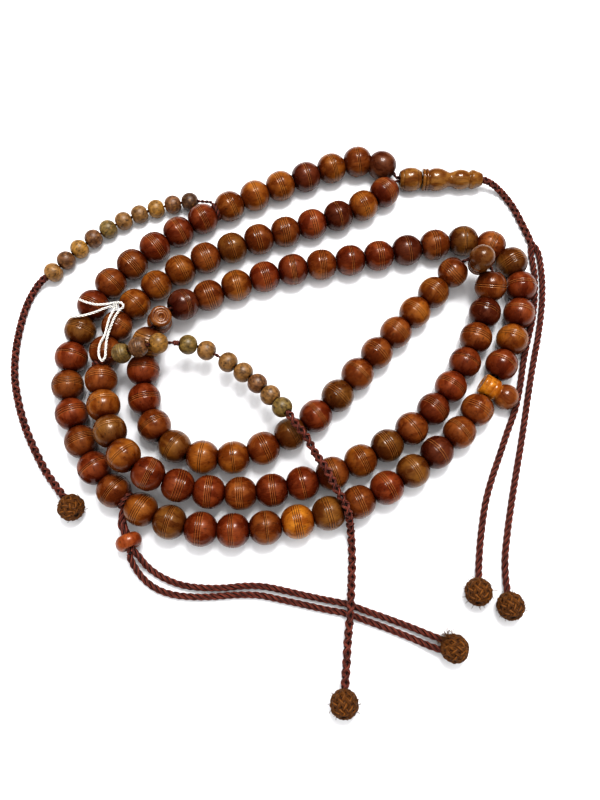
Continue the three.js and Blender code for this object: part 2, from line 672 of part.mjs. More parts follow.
const discBore = SLIDER_CORD_D + 2 * BORE_PLAY;
const disc = add(
  'slider_disc',
  ringBead(DISC_D, DISC_L, discBore, discBore + 0.6, DISC_RIM, 12),
  beadWood,
);
seat(disc, frameBetween(sliderStations[1], sliderStations[2]));
disc.position.copy(sliderStations[2]);

const thread = route(THREAD, THREAD_D / 2);
add('tie_thread', tube(stretch(thread, 0, thread.getLength(), THREAD_D * 1.6), THREAD_D, 6), threadFibre);

export default object;
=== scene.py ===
"""A string of wooden prayer beads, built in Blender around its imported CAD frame.

Every length is in metres, in the row frame: the string lies on the plane z = 0. Main beads, marker
beads, counters and cords repeat the routes of the CAD model, so each piece lies where its solid is.
"""

import math
import random

import bpy
import numpy as np
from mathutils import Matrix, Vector


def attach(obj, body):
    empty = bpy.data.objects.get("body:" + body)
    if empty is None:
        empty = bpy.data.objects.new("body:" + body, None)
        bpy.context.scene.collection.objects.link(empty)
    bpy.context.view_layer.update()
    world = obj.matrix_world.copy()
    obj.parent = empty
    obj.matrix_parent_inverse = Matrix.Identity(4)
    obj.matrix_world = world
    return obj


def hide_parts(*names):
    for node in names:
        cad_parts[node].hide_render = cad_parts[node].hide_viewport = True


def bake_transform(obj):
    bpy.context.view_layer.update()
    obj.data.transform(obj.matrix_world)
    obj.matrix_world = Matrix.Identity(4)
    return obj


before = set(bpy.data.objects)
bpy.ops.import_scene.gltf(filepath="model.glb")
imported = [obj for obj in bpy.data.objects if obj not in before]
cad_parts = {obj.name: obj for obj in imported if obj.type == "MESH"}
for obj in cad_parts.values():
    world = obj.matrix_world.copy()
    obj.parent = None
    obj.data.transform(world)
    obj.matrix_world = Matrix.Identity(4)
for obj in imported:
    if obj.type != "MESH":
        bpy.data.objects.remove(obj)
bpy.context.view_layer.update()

# ---- Camera, lights and floor -------------------------------------------------------------------

CAMERA_AT = (0.00441, -0.10616, 0.24853)
CAMERA_TILT = math.radians(18)
LENS_MM = 31.5
ROOM_CEILING, ROOM_WALLS = 1.9, 0.3  # how bright the room is overhead and at table height


def added(name, data):
    thing = bpy.data.objects.new(name, data)
    bpy.context.collection.objects.link(thing)
    return thing


def add_camera():
    data = bpy.data.cameras.new("camera")
    data.lens = LENS_MM
    data.sensor_width = 36
    data.clip_start = 0.01
    camera = added("camera", data)
    camera.location = CAMERA_AT
    camera.rotation_euler = (CAMERA_TILT, 0, 0)
    bpy.context.scene.camera = camera


def area_light(name, place, size, power):
    data = bpy.data.lights.new(name, "AREA")
    data.shape = "RECTANGLE"
    data.size, data.size_y = size
    data.energy = power
    light = added(name, data)
    light.location = place
    light.rotation_euler = (-Vector(place)).to_track_quat("-Z", "Y").to_euler()


def add_lights():
    area_light("window", (0.13, 0.20, 0.62), (0.09, 0.22), 2.4)
    area_light("second window", (-0.01, 0.22, 0.62), (0.06, 0.20), 1.5)
    world = bpy.data.worlds.new("room")
    world.use_nodes = True
    tree = world.node_tree
    height = tree.nodes.new("ShaderNodeSeparateXYZ")
    fade = tree.nodes.new("ShaderNodeMapRange")
    fade.inputs["From Min"].default_value = 0.1
    fade.inputs["To Min"].default_value = ROOM_WALLS
    fade.inputs["To Max"].default_value = ROOM_CEILING
    place = tree.nodes.new("ShaderNodeTexCoord")
    tree.links.new(place.outputs["Generated"], height.inputs[0])
    tree.links.new(height.outputs["Z"], fade.inputs["Value"])
    tree.links.new(fade.outputs["Result"], tree.nodes["Background"].inputs["Strength"])
    tree.nodes["Background"].inputs["Color"].default_value = (1, 1, 1, 1)
    world.cycles_visibility.glossy = False
    bpy.context.scene.world = world
    bpy.context.scene.view_settings.view_transform = "Standard"
    bpy.context.scene.view_settings.look = "High Contrast"


def add_floor():
    half = 1.5
    mesh = bpy.data.meshes.new("floor")
    corners = [(-half, -half, 0), (half, -half, 0), (half, half, 0), (-half, half, 0)]
    mesh.from_pydata(corners, [], [(0, 1, 2, 3)])
    floor = added("floor", mesh)
    floor.location.z = -0.00006  # just under the string, so that the two never share a plane
    paper = bpy.data.materials.new("white paper")
    paper.use_nodes = True
    surface = paper.node_tree.nodes["Principled BSDF"]
    surface.inputs["Base Color"].default_value = (0.6, 0.6, 0.61, 1)
    surface.inputs["Roughness"].default_value = 0.8
    mesh.materials.append(paper)


add_camera()
add_lights()
add_floor()

# ---- Sizes, as in the CAD model -----------------------------------------------------------------

BEAD_D, BEAD_L, BEAD_BORE_D, BEAD_FLAT_D = 0.012, 0.0106, 0.0026, 0.0044
COUNTER_D, COUNTER_L, COUNTER_BORE_D, COUNTER_FLAT_D = 0.0075, 0.0063, 0.002, 0.0032
COUNTER_SPACE = 0.00065
DRUM_D, DRUM_L, HEAD_D, HEAD_REACH = 0.008, 0.0064, 0.0094, 0.007
FINIAL_BEAD_D, FINIAL_BEAD_L, FINIAL_L, FINIAL_BORE_D = 0.0095, 0.0088, 0.0244, 0.0042
COLLAR_D, LOBE_D, NECK_D, SMALL_LOBE_D, CAP_D, TIP_D = 0.0088, 0.009, 0.0056, 0.0079, 0.0076, 0.0052
DISC_D, DISC_L = 0.0091, 0.0048
KNOT_D = 0.0096
MAIN_CORD_D, COUNTER_CORD_D, TAIL_D, TASSEL_D = 0.0015, 0.0012, 0.003, 0.003
LEG_D, SLIDER_CORD_D, SLIDER_LEG_D, THREAD_D = 0.0025, 0.0034, 0.0024, 0.001
TOUCH = 0.0003
HITCH_SPACE = 0.0007
MOUTH_LEAD = 0.0029
CORD_PAIR = 0.0009

# ---- Routes, as in the CAD model ----------------------------------------------------------------
# Each point is (x, y, lift): lift is the height of the piece's underside above the table.

ORIGIN = (-0.00041, 0.02636)
FINIAL_AT = (0.0446, 0.094)

SET_1 = [
    (0.0391, 0.1009, 0.0009), (0.0275, 0.102, 0.0001), (0.0166, 0.0985, 0), (-0.0037, 0.0902, 0),
    (-0.0233, 0.0812, 0), (-0.0433, 0.0695, 0), (-0.0603, 0.0554, 0), (-0.0745, 0.0387, 0),
    (-0.081, 0.0165, 0), (-0.0816, 0.0042, 0), (-0.0786, -0.007, 0), (-0.0682, -0.0274, 0),
    (-0.0594, -0.036, 0), (-0.0386, -0.0463, 0), (-0.017, -0.0482, 0), (0.0047, -0.0448, 0),
    (0.0248, -0.0383, 0), (0.0436, -0.0276, 0), (0.0615, -0.013, 0), (0.0692, -0.005, 0.00015),
]
SET_2 = [
    (0.0791, 0.012, 0.0001), (0.0834, 0.0223, 0), (0.087, 0.0332, 0), (0.0896, 0.044, 0),
    (0.087, 0.056, 0), (0.0775, 0.0643, 0), (0.066, 0.0649, 0), (0.0444, 0.0603, 0),
    (0.0225, 0.056, 0), (0.0004, 0.0522, 0), (-0.0205, 0.0454, 0), (-0.0306, 0.0415, 0.0002),
    (-0.04, 0.0367, 0.0007),
]
SET_3 = [
    (-0.0532, 0.0206, 0.0007), (-0.054, 0.0102, 0.0002), (-0.0531, -0.0007, 0),
    (-0.0488, -0.0114, 0), (-0.0402, -0.0194, 0), (-0.0293, -0.023, 0), (-0.0179, -0.0225, 0),
    (-0.0078, -0.0187, 0), (0.011, -0.0062, 0), (0.0255, 0.0095, 0), (0.0401, 0.0259, 0),
    (0.0546, 0.0416, 0.0002), (0.0622, 0.0498, 0.001),
]
SET_4 = [
    (0.0772, 0.0426, 0.001), (0.0738, 0.0334, 0.0002), (0.07, 0.0232, 0), (0.065, 0.013, 0),
    (0.0523, -0.0049, 0), (0.0352, -0.0181, 0), (0.0165, -0.0279, 0), (-0.0048, -0.0342, 0),
    (-0.0155, -0.0353, 0.0001), (-0.0262, -0.0353, 0.0003), (-0.0374, -0.0334, 0.002),
    (-0.048, -0.0298, 0.0063), (-0.0572, -0.0246, 0.0076), (-0.0624, -0.015, 0.0066),
    (-0.0664, -0.0042, 0.0036), (-0.0692, 0.0068, 0.0016), (-0.0686, 0.018, 0.0006),
    (-0.0647, 0.0296, 0.0001), (-0.0509, 0.046, 0), (-0.0313, 0.0581, 0), (-0.0111, 0.0659, 0),
    (0.0099, 0.0728, 0), (0.03, 0.0808, 0.0001), (0.0398, 0.088, 0.0008),
]
COUNTER_A = [
    (-0.0306, 0.0826, 0.0046), (-0.0346, 0.0839, 0.0036), (-0.0409, 0.0842, 0.0032),
    (-0.054, 0.0808, 0.0032), (-0.0668, 0.0752, 0.0032), (-0.078, 0.0672, 0.0032),
    (-0.0876, 0.0579, 0.0032), (-0.0924, 0.0516, 0.0033), (-0.0968, 0.0486, 0.0017),
    (-0.1, 0.0446, 0.0002), (-0.1022, 0.038, 0.00005), (-0.1036, 0.028, 0), (-0.1039, 0.019, 0),
    (-0.1029, 0.009, 0), (-0.1002, -0.001, 0), (-0.0964, -0.0106, 0), (-0.092, -0.019, 0),
    (-0.087, -0.027, 0), (-0.0816, -0.0336, 0.0006),
]
COUNTER_B = [
    (-0.0654, 0.0126, 0.012), (-0.06, 0.014, 0.0137), (-0.0536, 0.0153, 0.01675),
    (-0.047, 0.017, 0.016), (-0.0358, 0.0186, 0.0104), (-0.0288, 0.0162, 0.0094),
    (-0.0208, 0.0114, 0.009), (-0.0148, 0.007, 0.0092), (-0.0094, 0.002, 0.0102),
    (-0.0044, -0.0034, 0.0118), (-0.0002, -0.0088, 0.0141), (0.0024, -0.0124, 0.0134),
    (0.0064, -0.017, 0.0116), (0.0086, -0.021, 0.0098), (0.0108, -0.025, 0.0116),
    (0.0138, -0.03, 0.0131), (0.0162, -0.0346, 0.0112), (0.0186, -0.0384, 0.0103),
    (0.0202, -0.042, 0.01), (0.0214, -0.0464, 0.0036), (0.0219, -0.0506, 0.0003),
    (0.022, -0.057, 0), (0.0217, -0.063, 0.0004), (0.0212, -0.069, 0.0025),
    (0.0209, -0.0736, 0.0032), (0.0205, -0.078, 0.0023), (0.0199, -0.0846, 0.0001),
    (0.0194, -0.091, 0), (0.0188, -0.097, 0.0006),
]
TASSEL = [
    (0.082, 0.0926, 0.0026), (0.0856, 0.0906, 0.0008), (0.0884, 0.0874, 0), (0.0906, 0.0834, 0),
    (0.0924, 0.079, 0), (0.094, 0.0744, 0), (0.0956, 0.0696, 0), (0.097, 0.0646, 0),
]
LEG_RIGHT = [
    (0.0989, 0.0626, 0), (0.0994, 0.053, 0), (0.0986, 0.043, 0), (0.097, 0.034, 0),
    (0.0949, 0.025, 0), (0.0924, 0.016, 0), (0.0896, 0.005, 0), (0.087, -0.006, 0),
    (0.0844, -0.0166, 0), (0.0816, -0.0274, 0), (0.0792, -0.037, 0), (0.0768, -0.0474, 0),
    (0.075, -0.057, 0), (0.0745, -0.0634, 0.0003), (0.0744, -0.068, 0.0014),
]
LEG_LEFT = [
    (0.0961, 0.0622, 0), (0.0965, 0.053, 0), (0.0956, 0.043, 0), (0.0939, 0.034, 0),
    (0.0912, 0.025, 0), (0.0886, 0.016, 0), (0.0864, 0.0064, 0), (0.0838, -0.0026, 0),
    (0.0798, -0.012, 0), (0.0762, -0.0208, 0), (0.0728, -0.029, 0), (0.0699, -0.0374, 0),
    (0.0679, -0.046, 0), (0.0666, -0.053, 0), (0.0657, -0.059, 0.0003), (0.065, -0.0636, 0.0014),
]
SLIDER = [
    (-0.0577, -0.0455, 0.0026), (-0.0566, -0.0478, 0.00285), (-0.0549, -0.0518, 0.00285),
    (-0.0537, -0.0554, 0.00285),
]
SLIDER_UPPER = [
    (-0.0516, -0.0562, 0.0029), (-0.0492, -0.0592, 0.001), (-0.046, -0.0618, 0),
    (-0.0422, -0.0639, 0), (-0.0362, -0.066, 0), (-0.029, -0.0669, 0), (-0.022, -0.0669, 0),
    (-0.015, -0.0663, 0), (-0.0083, -0.0665, 0), (-0.0015, -0.0678, 0), (0.0057, -0.0694, 0),
    (0.0125, -0.0708, 0), (0.02, -0.0723, 0), (0.027, -0.0747, 0), (0.034, -0.0771, 0),
    (0.042, -0.08, 0.0002), (0.049, -0.0828, 0.0014),
]
SLIDER_LOWER = [
    (-0.0539, -0.0576, 0.0029), (-0.0518, -0.0614, 0.001), (-0.0486, -0.0649, 0),
    (-0.044, -0.0677, 0), (-0.0385, -0.0693, 0), (-0.032, -0.0699, 0), (-0.025, -0.0698, 0),
    (-0.018, -0.0693, 0), (-0.01, -0.0694, 0), (-0.0025, -0.0708, 0), (0.005, -0.0724, 0),
    (0.012, -0.0739, 0), (0.0195, -0.0753, 0), (0.0265, -0.0777, 0), (0.0335, -0.0802, 0),
    (0.041, -0.0831, 0.0002), (0.048, -0.086, 0.0014),
]
THREAD = [
    (-0.0783, 0.0364, 0.0119), (-0.0753, 0.0349, 0.0124), (-0.0718, 0.0342, 0.0119),
    (-0.0676, 0.0344, 0.0119), (-0.0647, 0.0349, 0.012), (-0.0623, 0.0348, 0.012),
    (-0.0615, 0.0334, 0.012), (-0.0628, 0.0316, 0.0122), (-0.0642, 0.0286, 0.0126),
    (-0.0653, 0.0253, 0.0124), (-0.0661, 0.0217, 0.0125), (-0.0663, 0.0183, 0.0129),
    (-0.0663, 0.0156, 0.0128), (-0.0662, 0.013, 0.013), (-0.067, 0.0114, 0.0132),
    (-0.0683, 0.0129, 0.0128), (-0.0688, 0.0157, 0.0127), (-0.0684, 0.0183, 0.0129),
    (-0.0672, 0.0217, 0.0125), (-0.0667, 0.0253, 0.0123), (-0.066, 0.0284, 0.0126),
    (-0.065, 0.0311, 0.0124), (-0.0645, 0.0328, 0.0119), (-0.066, 0.0336, 0.0115),
    (-0.0685, 0.0331, 0.0111), (-0.0714, 0.0318, 0.011), (-0.0745, 0.0305, 0.0113),
    (-0.0772, 0.0296, 0.0118), (-0.0807, 0.029, 0.0123),
]

# Each marker's drum, the way the cord runs through it, the way its head points, and the bare cord
# on each side of it.
MARKERS = [
    {
        "at": (0.0734, 0.004, 0.0019), "along": (0.5, 0.87, 0),
        "head": (0.96, -0.24, -0.15), "bare": 0.0003,
    },
    {
        "at": (-0.0476, 0.0292, 0.0076), "along": (-0.64, -0.77, 0),
        "head": (-0.2, 0.25, -0.95), "bare": 0.0013,
    },
    {
        "at": (0.0719, 0.0515, 0.0084), "along": (0.93, -0.37, 0),
        "head": (-0.17, -0.18, 0.97), "bare": 0.0022,
    },
]
KNOT_A, KNOT_B = (-0.0758, -0.04), (0.0182, -0.1032)
KNOT_RIGHT, KNOT_LEFT, KNOT_SLIDER = (0.0744, -0.073), (0.064, -0.0684), (0.0548, -0.0864)
COUNTER_SLACK_A = {}
COUNTER_SLACK_B = {1: 0.0001, 2: 0.0006, 3: 0.0041, 4: 0.0003, 5: 0.0022}
COUNTER_LEAD_A, COUNTER_LEAD_B = 0.0072, 0.0026
TAIL_B_PIVOT = 21
PAIR_AT_KNOT = 0.0017


def on_route(point, radius):
    x, y, lift = point
    return np.array([x - ORIGIN[0], y - ORIGIN[1], lift + radius])


def raised(points, radius):
    return [on_route(point, radius) for point in points]


class Route:
    """A centripetal Catmull-Rom curve through points, measured along its length."""

    SAMPLES = 40

    def __init__(self, points):
        p = [np.asarray(point, float) for point in points]
        ends = [2 * p[0] - p[1]] + p + [2 * p[-1] - p[-2]]
        samples = [p[0][None]]
        for x0, x1, x2, x3 in zip(ends, ends[1:], ends[2:], ends[3:]):
            samples.append(self._segment(x0, x1, x2, x3))
        self.line = np.concatenate(samples)
        steps = np.linalg.norm(np.diff(self.line, axis=0), axis=1)
        self.lengths = np.concatenate([[0], np.cumsum(steps)])
        self.length = self.lengths[-1]

    def _segment(self, x0, x1, x2, x3):
        d0, d1, d2 = (math.sqrt(np.linalg.norm(b - a)) for a, b in ((x0, x1), (x1, x2), (x2, x3)))
        t1 = ((x1 - x0) / d0 - (x2 - x0) / (d0 + d1) + (x2 - x1) / d1) * d1
        t2 = ((x2 - x1) / d1 - (x3 - x1) / (d1 + d2) + (x3 - x2) / d2) * d1
        t = (np.arange(1, self.SAMPLES + 1) / self.SAMPLES)[:, None]
        c2 = -3 * x1 + 3 * x2 - 2 * t1 - t2
        c3 = 2 * x1 - 2 * x2 + t1 + t2
        return x1 + t1 * t + c2 * t ** 2 + c3 * t ** 3

    def at(self, length):
        return np.array([np.interp(length, self.lengths, self.line[:, k]) for k in range(3)]).T

    def at_point(self, index):
        return self.lengths[index * self.SAMPLES]

    def stretch(self, start, end, spacing):
        return self.at(np.linspace(start, end, max(2, round((end - start) / spacing)) + 1))


def unit(v):
    return v / np.linalg.norm(v)


class Seat:
    """Where a turned piece sits: its middle, the axis it was turned on, and its side and top."""

    def __init__(self, centre, axis, up=(0, 0, 1)):
        self.centre = np.asarray(centre, float)
        self.axis = unit(np.asarray(axis, float))
        up = np.asarray(up, float)
        self.up = unit(up - up.dot(self.axis) * self.axis)
        self.side = np.cross(self.axis, self.up)
        self.matrix = np.array([self.side, self.axis, self.up])

    def place(self, points):
        """Points given as (side, axis, up) from the seat's middle."""
        return self.centre + points @ self.matrix


def between(start, end):
    return Seat((start + end) / 2, end - start)


# ---- Mesh helpers -------------------------------------------------------------------------------


def new_piece(name, points, faces, material, body, marks=None):
    """A smooth piece that rides on a body. marks are per-point values that its material reads.
    A piece made with no body is left unattached."""
    mesh = bpy.data.meshes.new(name)
    mesh.from_pydata(points, [], faces)
    for key, values in (marks or {}).items():
        kind = "FLOAT_VECTOR" if np.ndim(values) == 2 else "FLOAT"
        layer = mesh.attributes.new(key, kind, "POINT")
        layer.data.foreach_set("vector" if kind == "FLOAT_VECTOR" else "value", np.ravel(values))
    mesh.shade_smooth()
    mesh.materials.append(material)
    piece = added(name, mesh)
    if body:
        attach(piece, body)
    return piece


def turned(profile, segments):
    """A profile of (radius, along) turned about the axis. It is closed, or starts and ends on the axis.
    Returns the points as (side, axis, up), the faces, and the profile point that each point is."""
    profile = np.asarray(profile, float)
    solid = profile[0, 0] == 0 and profile[-1, 0] == 0
    used = np.arange(1, len(profile) - 1) if solid else np.arange(len(profile))
    count = len(used)
    angles = np.linspace(0, 2 * math.pi, segments, endpoint=False)[:, None]
    radius, along = profile[used].T
    points = [radius * np.sin(angles), np.tile(along, (segments, 1)), radius * np.cos(angles)]
    points = np.stack(points, axis=-1).reshape(-1, 3)
    source = np.tile(used, segments)
    low, high = len(points), len(points) + 1
    if solid:
        points = np.concatenate([points, [[0, profile[0, 1], 0], [0, profile[-1, 1], 0]]])
        source = np.concatenate([source, [0, len(profile) - 1]])
    faces = []
    for i in range(segments):
        here, there = i * count, (i + 1) % segments * count
        for j in range(count - solid):
            k = (j + 1) % count
            faces.append((here + j, there + j, there + k, here + k))
        if solid:
            faces.append((low, there, here))
            faces.append((high, here + count - 1, there + count - 1))
    return points, faces, source


def tangents(line):
    tangent = np.gradient(line, axis=0)
    tangent /= np.linalg.norm(tangent, axis=1)[:, None]
    return tangent


def distances(line):
    """How far along a line each of its points lies."""
    return np.concatenate([[0], np.cumsum(np.linalg.norm(np.diff(line, axis=0), axis=1))])


def tube_rings(line, radius, sides, radial=None):
    """Rings of points round a line. radial is the direction at each point that the first one takes."""
    line = np.asarray(line, float)
    tangent = tangents(line)
    if radial is None:
        radial = carried(tangent)
    radial = radial - (radial * tangent).sum(1)[:, None] * tangent
    radial /= np.linalg.norm(radial, axis=1)[:, None]
    other = np.cross(tangent, radial)
    angles = np.linspace(0, 2 * math.pi, sides, endpoint=False)
    radius = np.broadcast_to(radius, len(line))[:, None, None]
    cosines, sines = np.cos(angles)[None, :, None], np.sin(angles)[None, :, None]
    around = radial[:, None] * cosines + other[:, None] * sines
    return (line[:, None] + radius * around).reshape(-1, 3)


def carried(tangent):
    """A direction square to a line at each of its points, carried along it without twisting."""
    first = np.array([0, 0, 1.0]) if abs(tangent[0, 2]) < 0.9 else np.array([1.0, 0, 0])
    radial = np.empty_like(tangent)
    for i, along in enumerate(tangent):
        first = unit(first - first.dot(along) * along)
        radial[i] = first
    return radial


def square_to(line):
    """Two directions square to a line, and to each other, at each of its points."""
    tangent = tangents(line)
    radial = carried(tangent)
    return radial, np.cross(tangent, radial)


def tube_faces(rings, sides, first=0):
    faces = []
    for i in range(rings - 1):
        a, b = first + i * sides, first + (i + 1) * sides
        for j in range(sides):
            k = (j + 1) % sides
            faces.append((a + j, a + k, b + k, b + j))
    faces.append(tuple(range(first + sides - 1, first - 1, -1)))
    last = first + (rings - 1) * sides
    faces.append(tuple(range(last, last + sides)))
    return faces


class Strands:
    """Several closed tubes collected into one mesh, with yarn marks for the cord material and an outward mark
    for its painted crevice shade.
    """

    def __init__(self):
        self.points, self.faces, self.yarn, self.outward = [], [], [], []
        self.count = 0

    def add(self, line, radius, sides=8, radial=None, tone=0.5):
        rings = tube_rings(line, radius, sides, radial)
        along = np.repeat(distances(line), sides)
        turn = np.tile(np.arange(sides) / sides, len(line))
        self.yarn.append(np.stack([along, turn, np.full(len(rings), tone)], axis=1))
        # how far each point faces the outside of its strand; the cord material paints shade where this is low
        self.outward.append(np.tile(np.cos(2 * math.pi * np.arange(sides) / sides), len(line)))
        self.faces += tube_faces(len(line), sides, self.count)
        self.points.append(rings)
        self.count += len(rings)

    def piece(self, name, material, body, slot):
        return new_piece(
            name, np.concatenate(self.points), self.faces, material, body,
            {"yarn": np.concatenate(self.yarn), "outward": np.concatenate(self.outward)},
        )


# ---- Materials ----------------------------------------------------------------------------------


def linear(red, green, blue):
    """A colour given as 0 to 255 on a screen, as the linear values that a shader takes."""
    shares = [channel / 255 for channel in (red, green, blue)]
    return tuple(s / 12.92 if s < 0.0404 else ((s + 0.055) / 1.055) ** 2.4 for s in shares)


class Finish:
    """A material with short calls for the nodes that these finishes share."""

    def __init__(self, name, **constants):
        self.material = bpy.data.materials.new(name)
        self.material.use_nodes = True
        self.tree = self.material.node_tree
        self.surface = self.tree.nodes["Principled BSDF"]
        for socket, value in constants.items():
            self.surface.inputs[socket.replace("_", " ")].default_value = value

    def node(self, kind, inputs=None, **settings):
        made = self.tree.nodes.new(kind)
        for key, value in settings.items():
            setattr(made, key, value)
        for key, value in (inputs or {}).items():
            self.plug(made.inputs[key], value)
        return made

    def plug(self, socket, value):
        if isinstance(value, bpy.types.NodeSocket):
            self.tree.links.new(value, socket)
        else:
            socket.default_value = value

    def mark(self, name, output="Vector"):
        return self.node("ShaderNodeAttribute", attribute_name=name).outputs[output]

    def noise(self, vector, scale, detail=3.0, distortion=0.0):
        place = self.node("ShaderNodeMapping", {"Vector": vector, "Scale": scale}).outputs["Vector"]
        values = {"Vector": place, "Scale": 1.0, "Detail": detail, "Distortion": distortion}
        return self.node("ShaderNodeTexNoise", values).outputs["Fac"]

    def ramp(self, value, low, high, to_low=0.0, to_high=1.0):
        """The value from low to high, spread smoothly from to_low to to_high."""
        values = {"Value": value, "From Min": low, "From Max": high, "To Min": to_low, "To Max": to_high}
        node = self.node("ShaderNodeMapRange", values, interpolation_type="SMOOTHSTEP")
        return node.outputs["Result"]

    def math(self, operation, a, b):
        return self.node("ShaderNodeMath", {0: a, 1: b}, operation=operation).outputs[0]

    def mix(self, factor, a, b, blend="MIX"):
        node = self.node("ShaderNodeMix", data_type="RGBA", blend_type=blend)
        self.plug(node.inputs["Factor"], factor)
        for socket, value in (("A", a), ("B", b)):
            target = [s for s in node.inputs if s.name == socket and s.type == "RGBA"][0]
            self.plug(target, value if isinstance(value, bpy.types.NodeSocket) else (*value, 1))
        return [s for s in node.outputs if s.type == "RGBA"][0]

    def bump(self, height, distance, strength=1.0, under=None):
        values = {"Height": height, "Distance": distance, "Strength": strength}
        if under is not None:
            values["Normal"] = under
        return self.node("ShaderNodeBump", values).outputs["Normal"]

    def finish(self, color, roughness, normal):
        self.plug(self.surface.inputs["Base Color"], color)
        self.plug(self.surface.inputs["Roughness"], roughness)
        self.plug(self.surface.inputs["Normal"], normal)
        return self.material


def polished_wood(name, gloss, coat, fleck_color, ring_color):
    """Turned wood: cloudy colour, fine fibres along the bead, dark pores and cut rings."""
    wood = Finish(name, Coat_Weight=coat, Coat_Roughness=0.09, Specular_IOR_Level=0.3)
    local = wood.mark("wood")
    tint = wood.mark("tint")
    ring = wood.mark("ring", "Fac")
    cloud = wood.noise(local, (260, 150, 260), 2.0, 0.4)
    fibre = wood.noise(local, (2600, 300, 2600), 2.0)
    pores = wood.noise(local, (1700, 420, 1700), 1.0)
    light = wood.mix(wood.ramp(cloud, 0.35, 0.68), (0.7, 0.56, 0.5), (1.32, 1.42, 1.4))
    color = wood.mix(1.0, tint, light, "MULTIPLY")
    grain = wood.mix(wood.ramp(fibre, 0.3, 0.7), (0.84, 0.8, 0.78), (1.1, 1.1, 1.1))
    color = wood.mix(1.0, color, grain, "MULTIPLY")
    color = wood.mix(wood.ramp(pores, 0.62, 0.74, 0, 0.55), color, fleck_color)
    worn = wood.ramp(wood.noise(local, (500, 500, 500)), 0.35, 0.6, 0.4, 0.95)
    color = wood.mix(wood.ramp(ring, 0.0, -1.0, 0, 0.8), color, fleck_color)
    color = wood.mix(wood.math("MULTIPLY", wood.ramp(ring, 0.0, 1.0), worn), color, ring_color)
    roughness = wood.ramp(cloud, 0.3, 0.7, gloss - 0.05, gloss + 0.08)
    normal = wood.bump(wood.math("ADD", fibre, pores), 0.00003, 0.35)
    return wood.finish(color, roughness, normal)


def mottled_wood():
    """The counters' oiled palm or fruit wood: tan with dark and pale flecks."""
    wood = Finish("counter wood", Coat_Weight=0.12, Coat_Roughness=0.3)
    local = wood.mark("wood")
    tint = wood.mark("tint")
    ring = wood.mark("ring", "Fac")
    cloud = wood.noise(local, (420, 300, 420), 3.0, 0.8)
    fleck = wood.noise(local, (1500, 800, 1500), 3.0, 0.5)
    fibre = wood.noise(local, (4200, 700, 4200), 1.0)
    light = wood.mix(wood.ramp(cloud, 0.35, 0.65), (0.7, 0.66, 0.6), (1.25, 1.25, 1.2))
    color = wood.mix(1.0, tint, light, "MULTIPLY")
    color = wood.mix(wood.ramp(fleck, 0.53, 0.66, 0, 0.75), color, linear(46, 29, 13))
    color = wood.mix(wood.ramp(fleck, 0.44, 0.32, 0, 0.5), color, linear(142, 108, 60))
    color = wood.mix(wood.math("MULTIPLY", wood.math("ABSOLUTE", ring, 0.0), 0.6), color, linear(62, 42, 20))
    roughness = wood.ramp(cloud, 0.3, 0.7, 0.4, 0.55)
    normal = wood.bump(wood.math("ADD", fibre, fleck), 0.00005, 0.4)
    return wood.finish(color, roughness, normal)


def twisted_yarn(name, dark, light, sheen, yarns=5, per_metre=420):
    """Cord fibres: fine yarns that run slantwise round each strand, with painted shade in the crevices
    between strands.
    """
    yarn = Finish(name, Sheen_Weight=sheen, Sheen_Roughness=0.4, Specular_IOR_Level=0.35)
    marks = yarn.node("ShaderNodeSeparateXYZ", {"Vector": yarn.mark("yarn")}).outputs
    along = yarn.math("MULTIPLY", marks[0], per_metre)
    slant = yarn.math("ADD", along, yarn.math("MULTIPLY", marks[1], yarns))
    wave = yarn.math("SINE", yarn.math("MULTIPLY", slant, 2 * math.pi), 0.0)
    place = yarn.node("ShaderNodeTexCoord").outputs["Object"]
    fuzz = yarn.noise(place, (5200, 5200, 5200), 2.0)
    patch = yarn.noise(place, (240, 240, 240), 2.0)
    ply = yarn.ramp(wave, -1.0, 1.0)
    shade = yarn.math("ADD", yarn.math("MULTIPLY", ply, 0.45), yarn.math("MULTIPLY", fuzz, 0.5))
    shade = yarn.math("ADD", shade, yarn.math("MULTIPLY", patch, 0.3))
    shade = yarn.math("ADD", shade, yarn.math("MULTIPLY", marks[2], 0.3))
    color = yarn.mix(yarn.ramp(shade, 0.4, 1.15), dark, light)
    # Painted shade: each strand is darkened on the sides that face away from the outside of its rope or ball,
    # where the crevices between strands lie in shade.
    crevice_shade = yarn.ramp(yarn.mark("outward", "Fac"), 0.75, -0.35, 0, 0.85)
    color = yarn.mix(crevice_shade, color, tuple(0.25 * value for value in dark))
    normal = yarn.bump(ply, 0.00012, 0.8)
    normal = yarn.bump(fuzz, 0.00005, 0.7, normal)
    return yarn.finish(color, yarn.ramp(fuzz, 0.3, 0.7, 0.55, 0.8), normal)


BEAD_WOOD = polished_wood("bead wood", 0.27, 0.16, linear(34, 12, 5), linear(158, 108, 60))
FINIAL_WOOD = polished_wood("finial wood", 0.24, 0.26, linear(64, 36, 15), linear(70, 40, 16))
COUNTER_WOOD = mottled_wood()
CORD = twisted_yarn("maroon cord", linear(42, 11, 7), linear(122, 60, 44), 0.05)
KNOT = twisted_yarn("knotted cord", linear(48, 22, 2), linear(112, 68, 12), 0.0, yarns=4)
THREAD_WHITE = twisted_yarn(
    "white thread", linear(205, 200, 192), linear(250, 248, 244), 0.2, yarns=3, per_metre=900
)

# ---- Turned wood --------------------------------------------------------------------------------

RINGS_W, RINGS_DEEP = 0.00046, 0.00012


def barrel(diameter, length, flat, power, samples):
    """The outer curve of a bead: radius and place along it, and the function behind them."""
    reach = length / 2 / math.sqrt(1 - (flat / diameter) ** (2 / power))

    def radius(along):
        return diameter / 2 * (1 - (along / reach) ** 2) ** (power / 2)

    angle = math.acos(length / 2 / reach)
    return -reach * np.cos(np.linspace(angle, math.pi - angle, samples)), radius


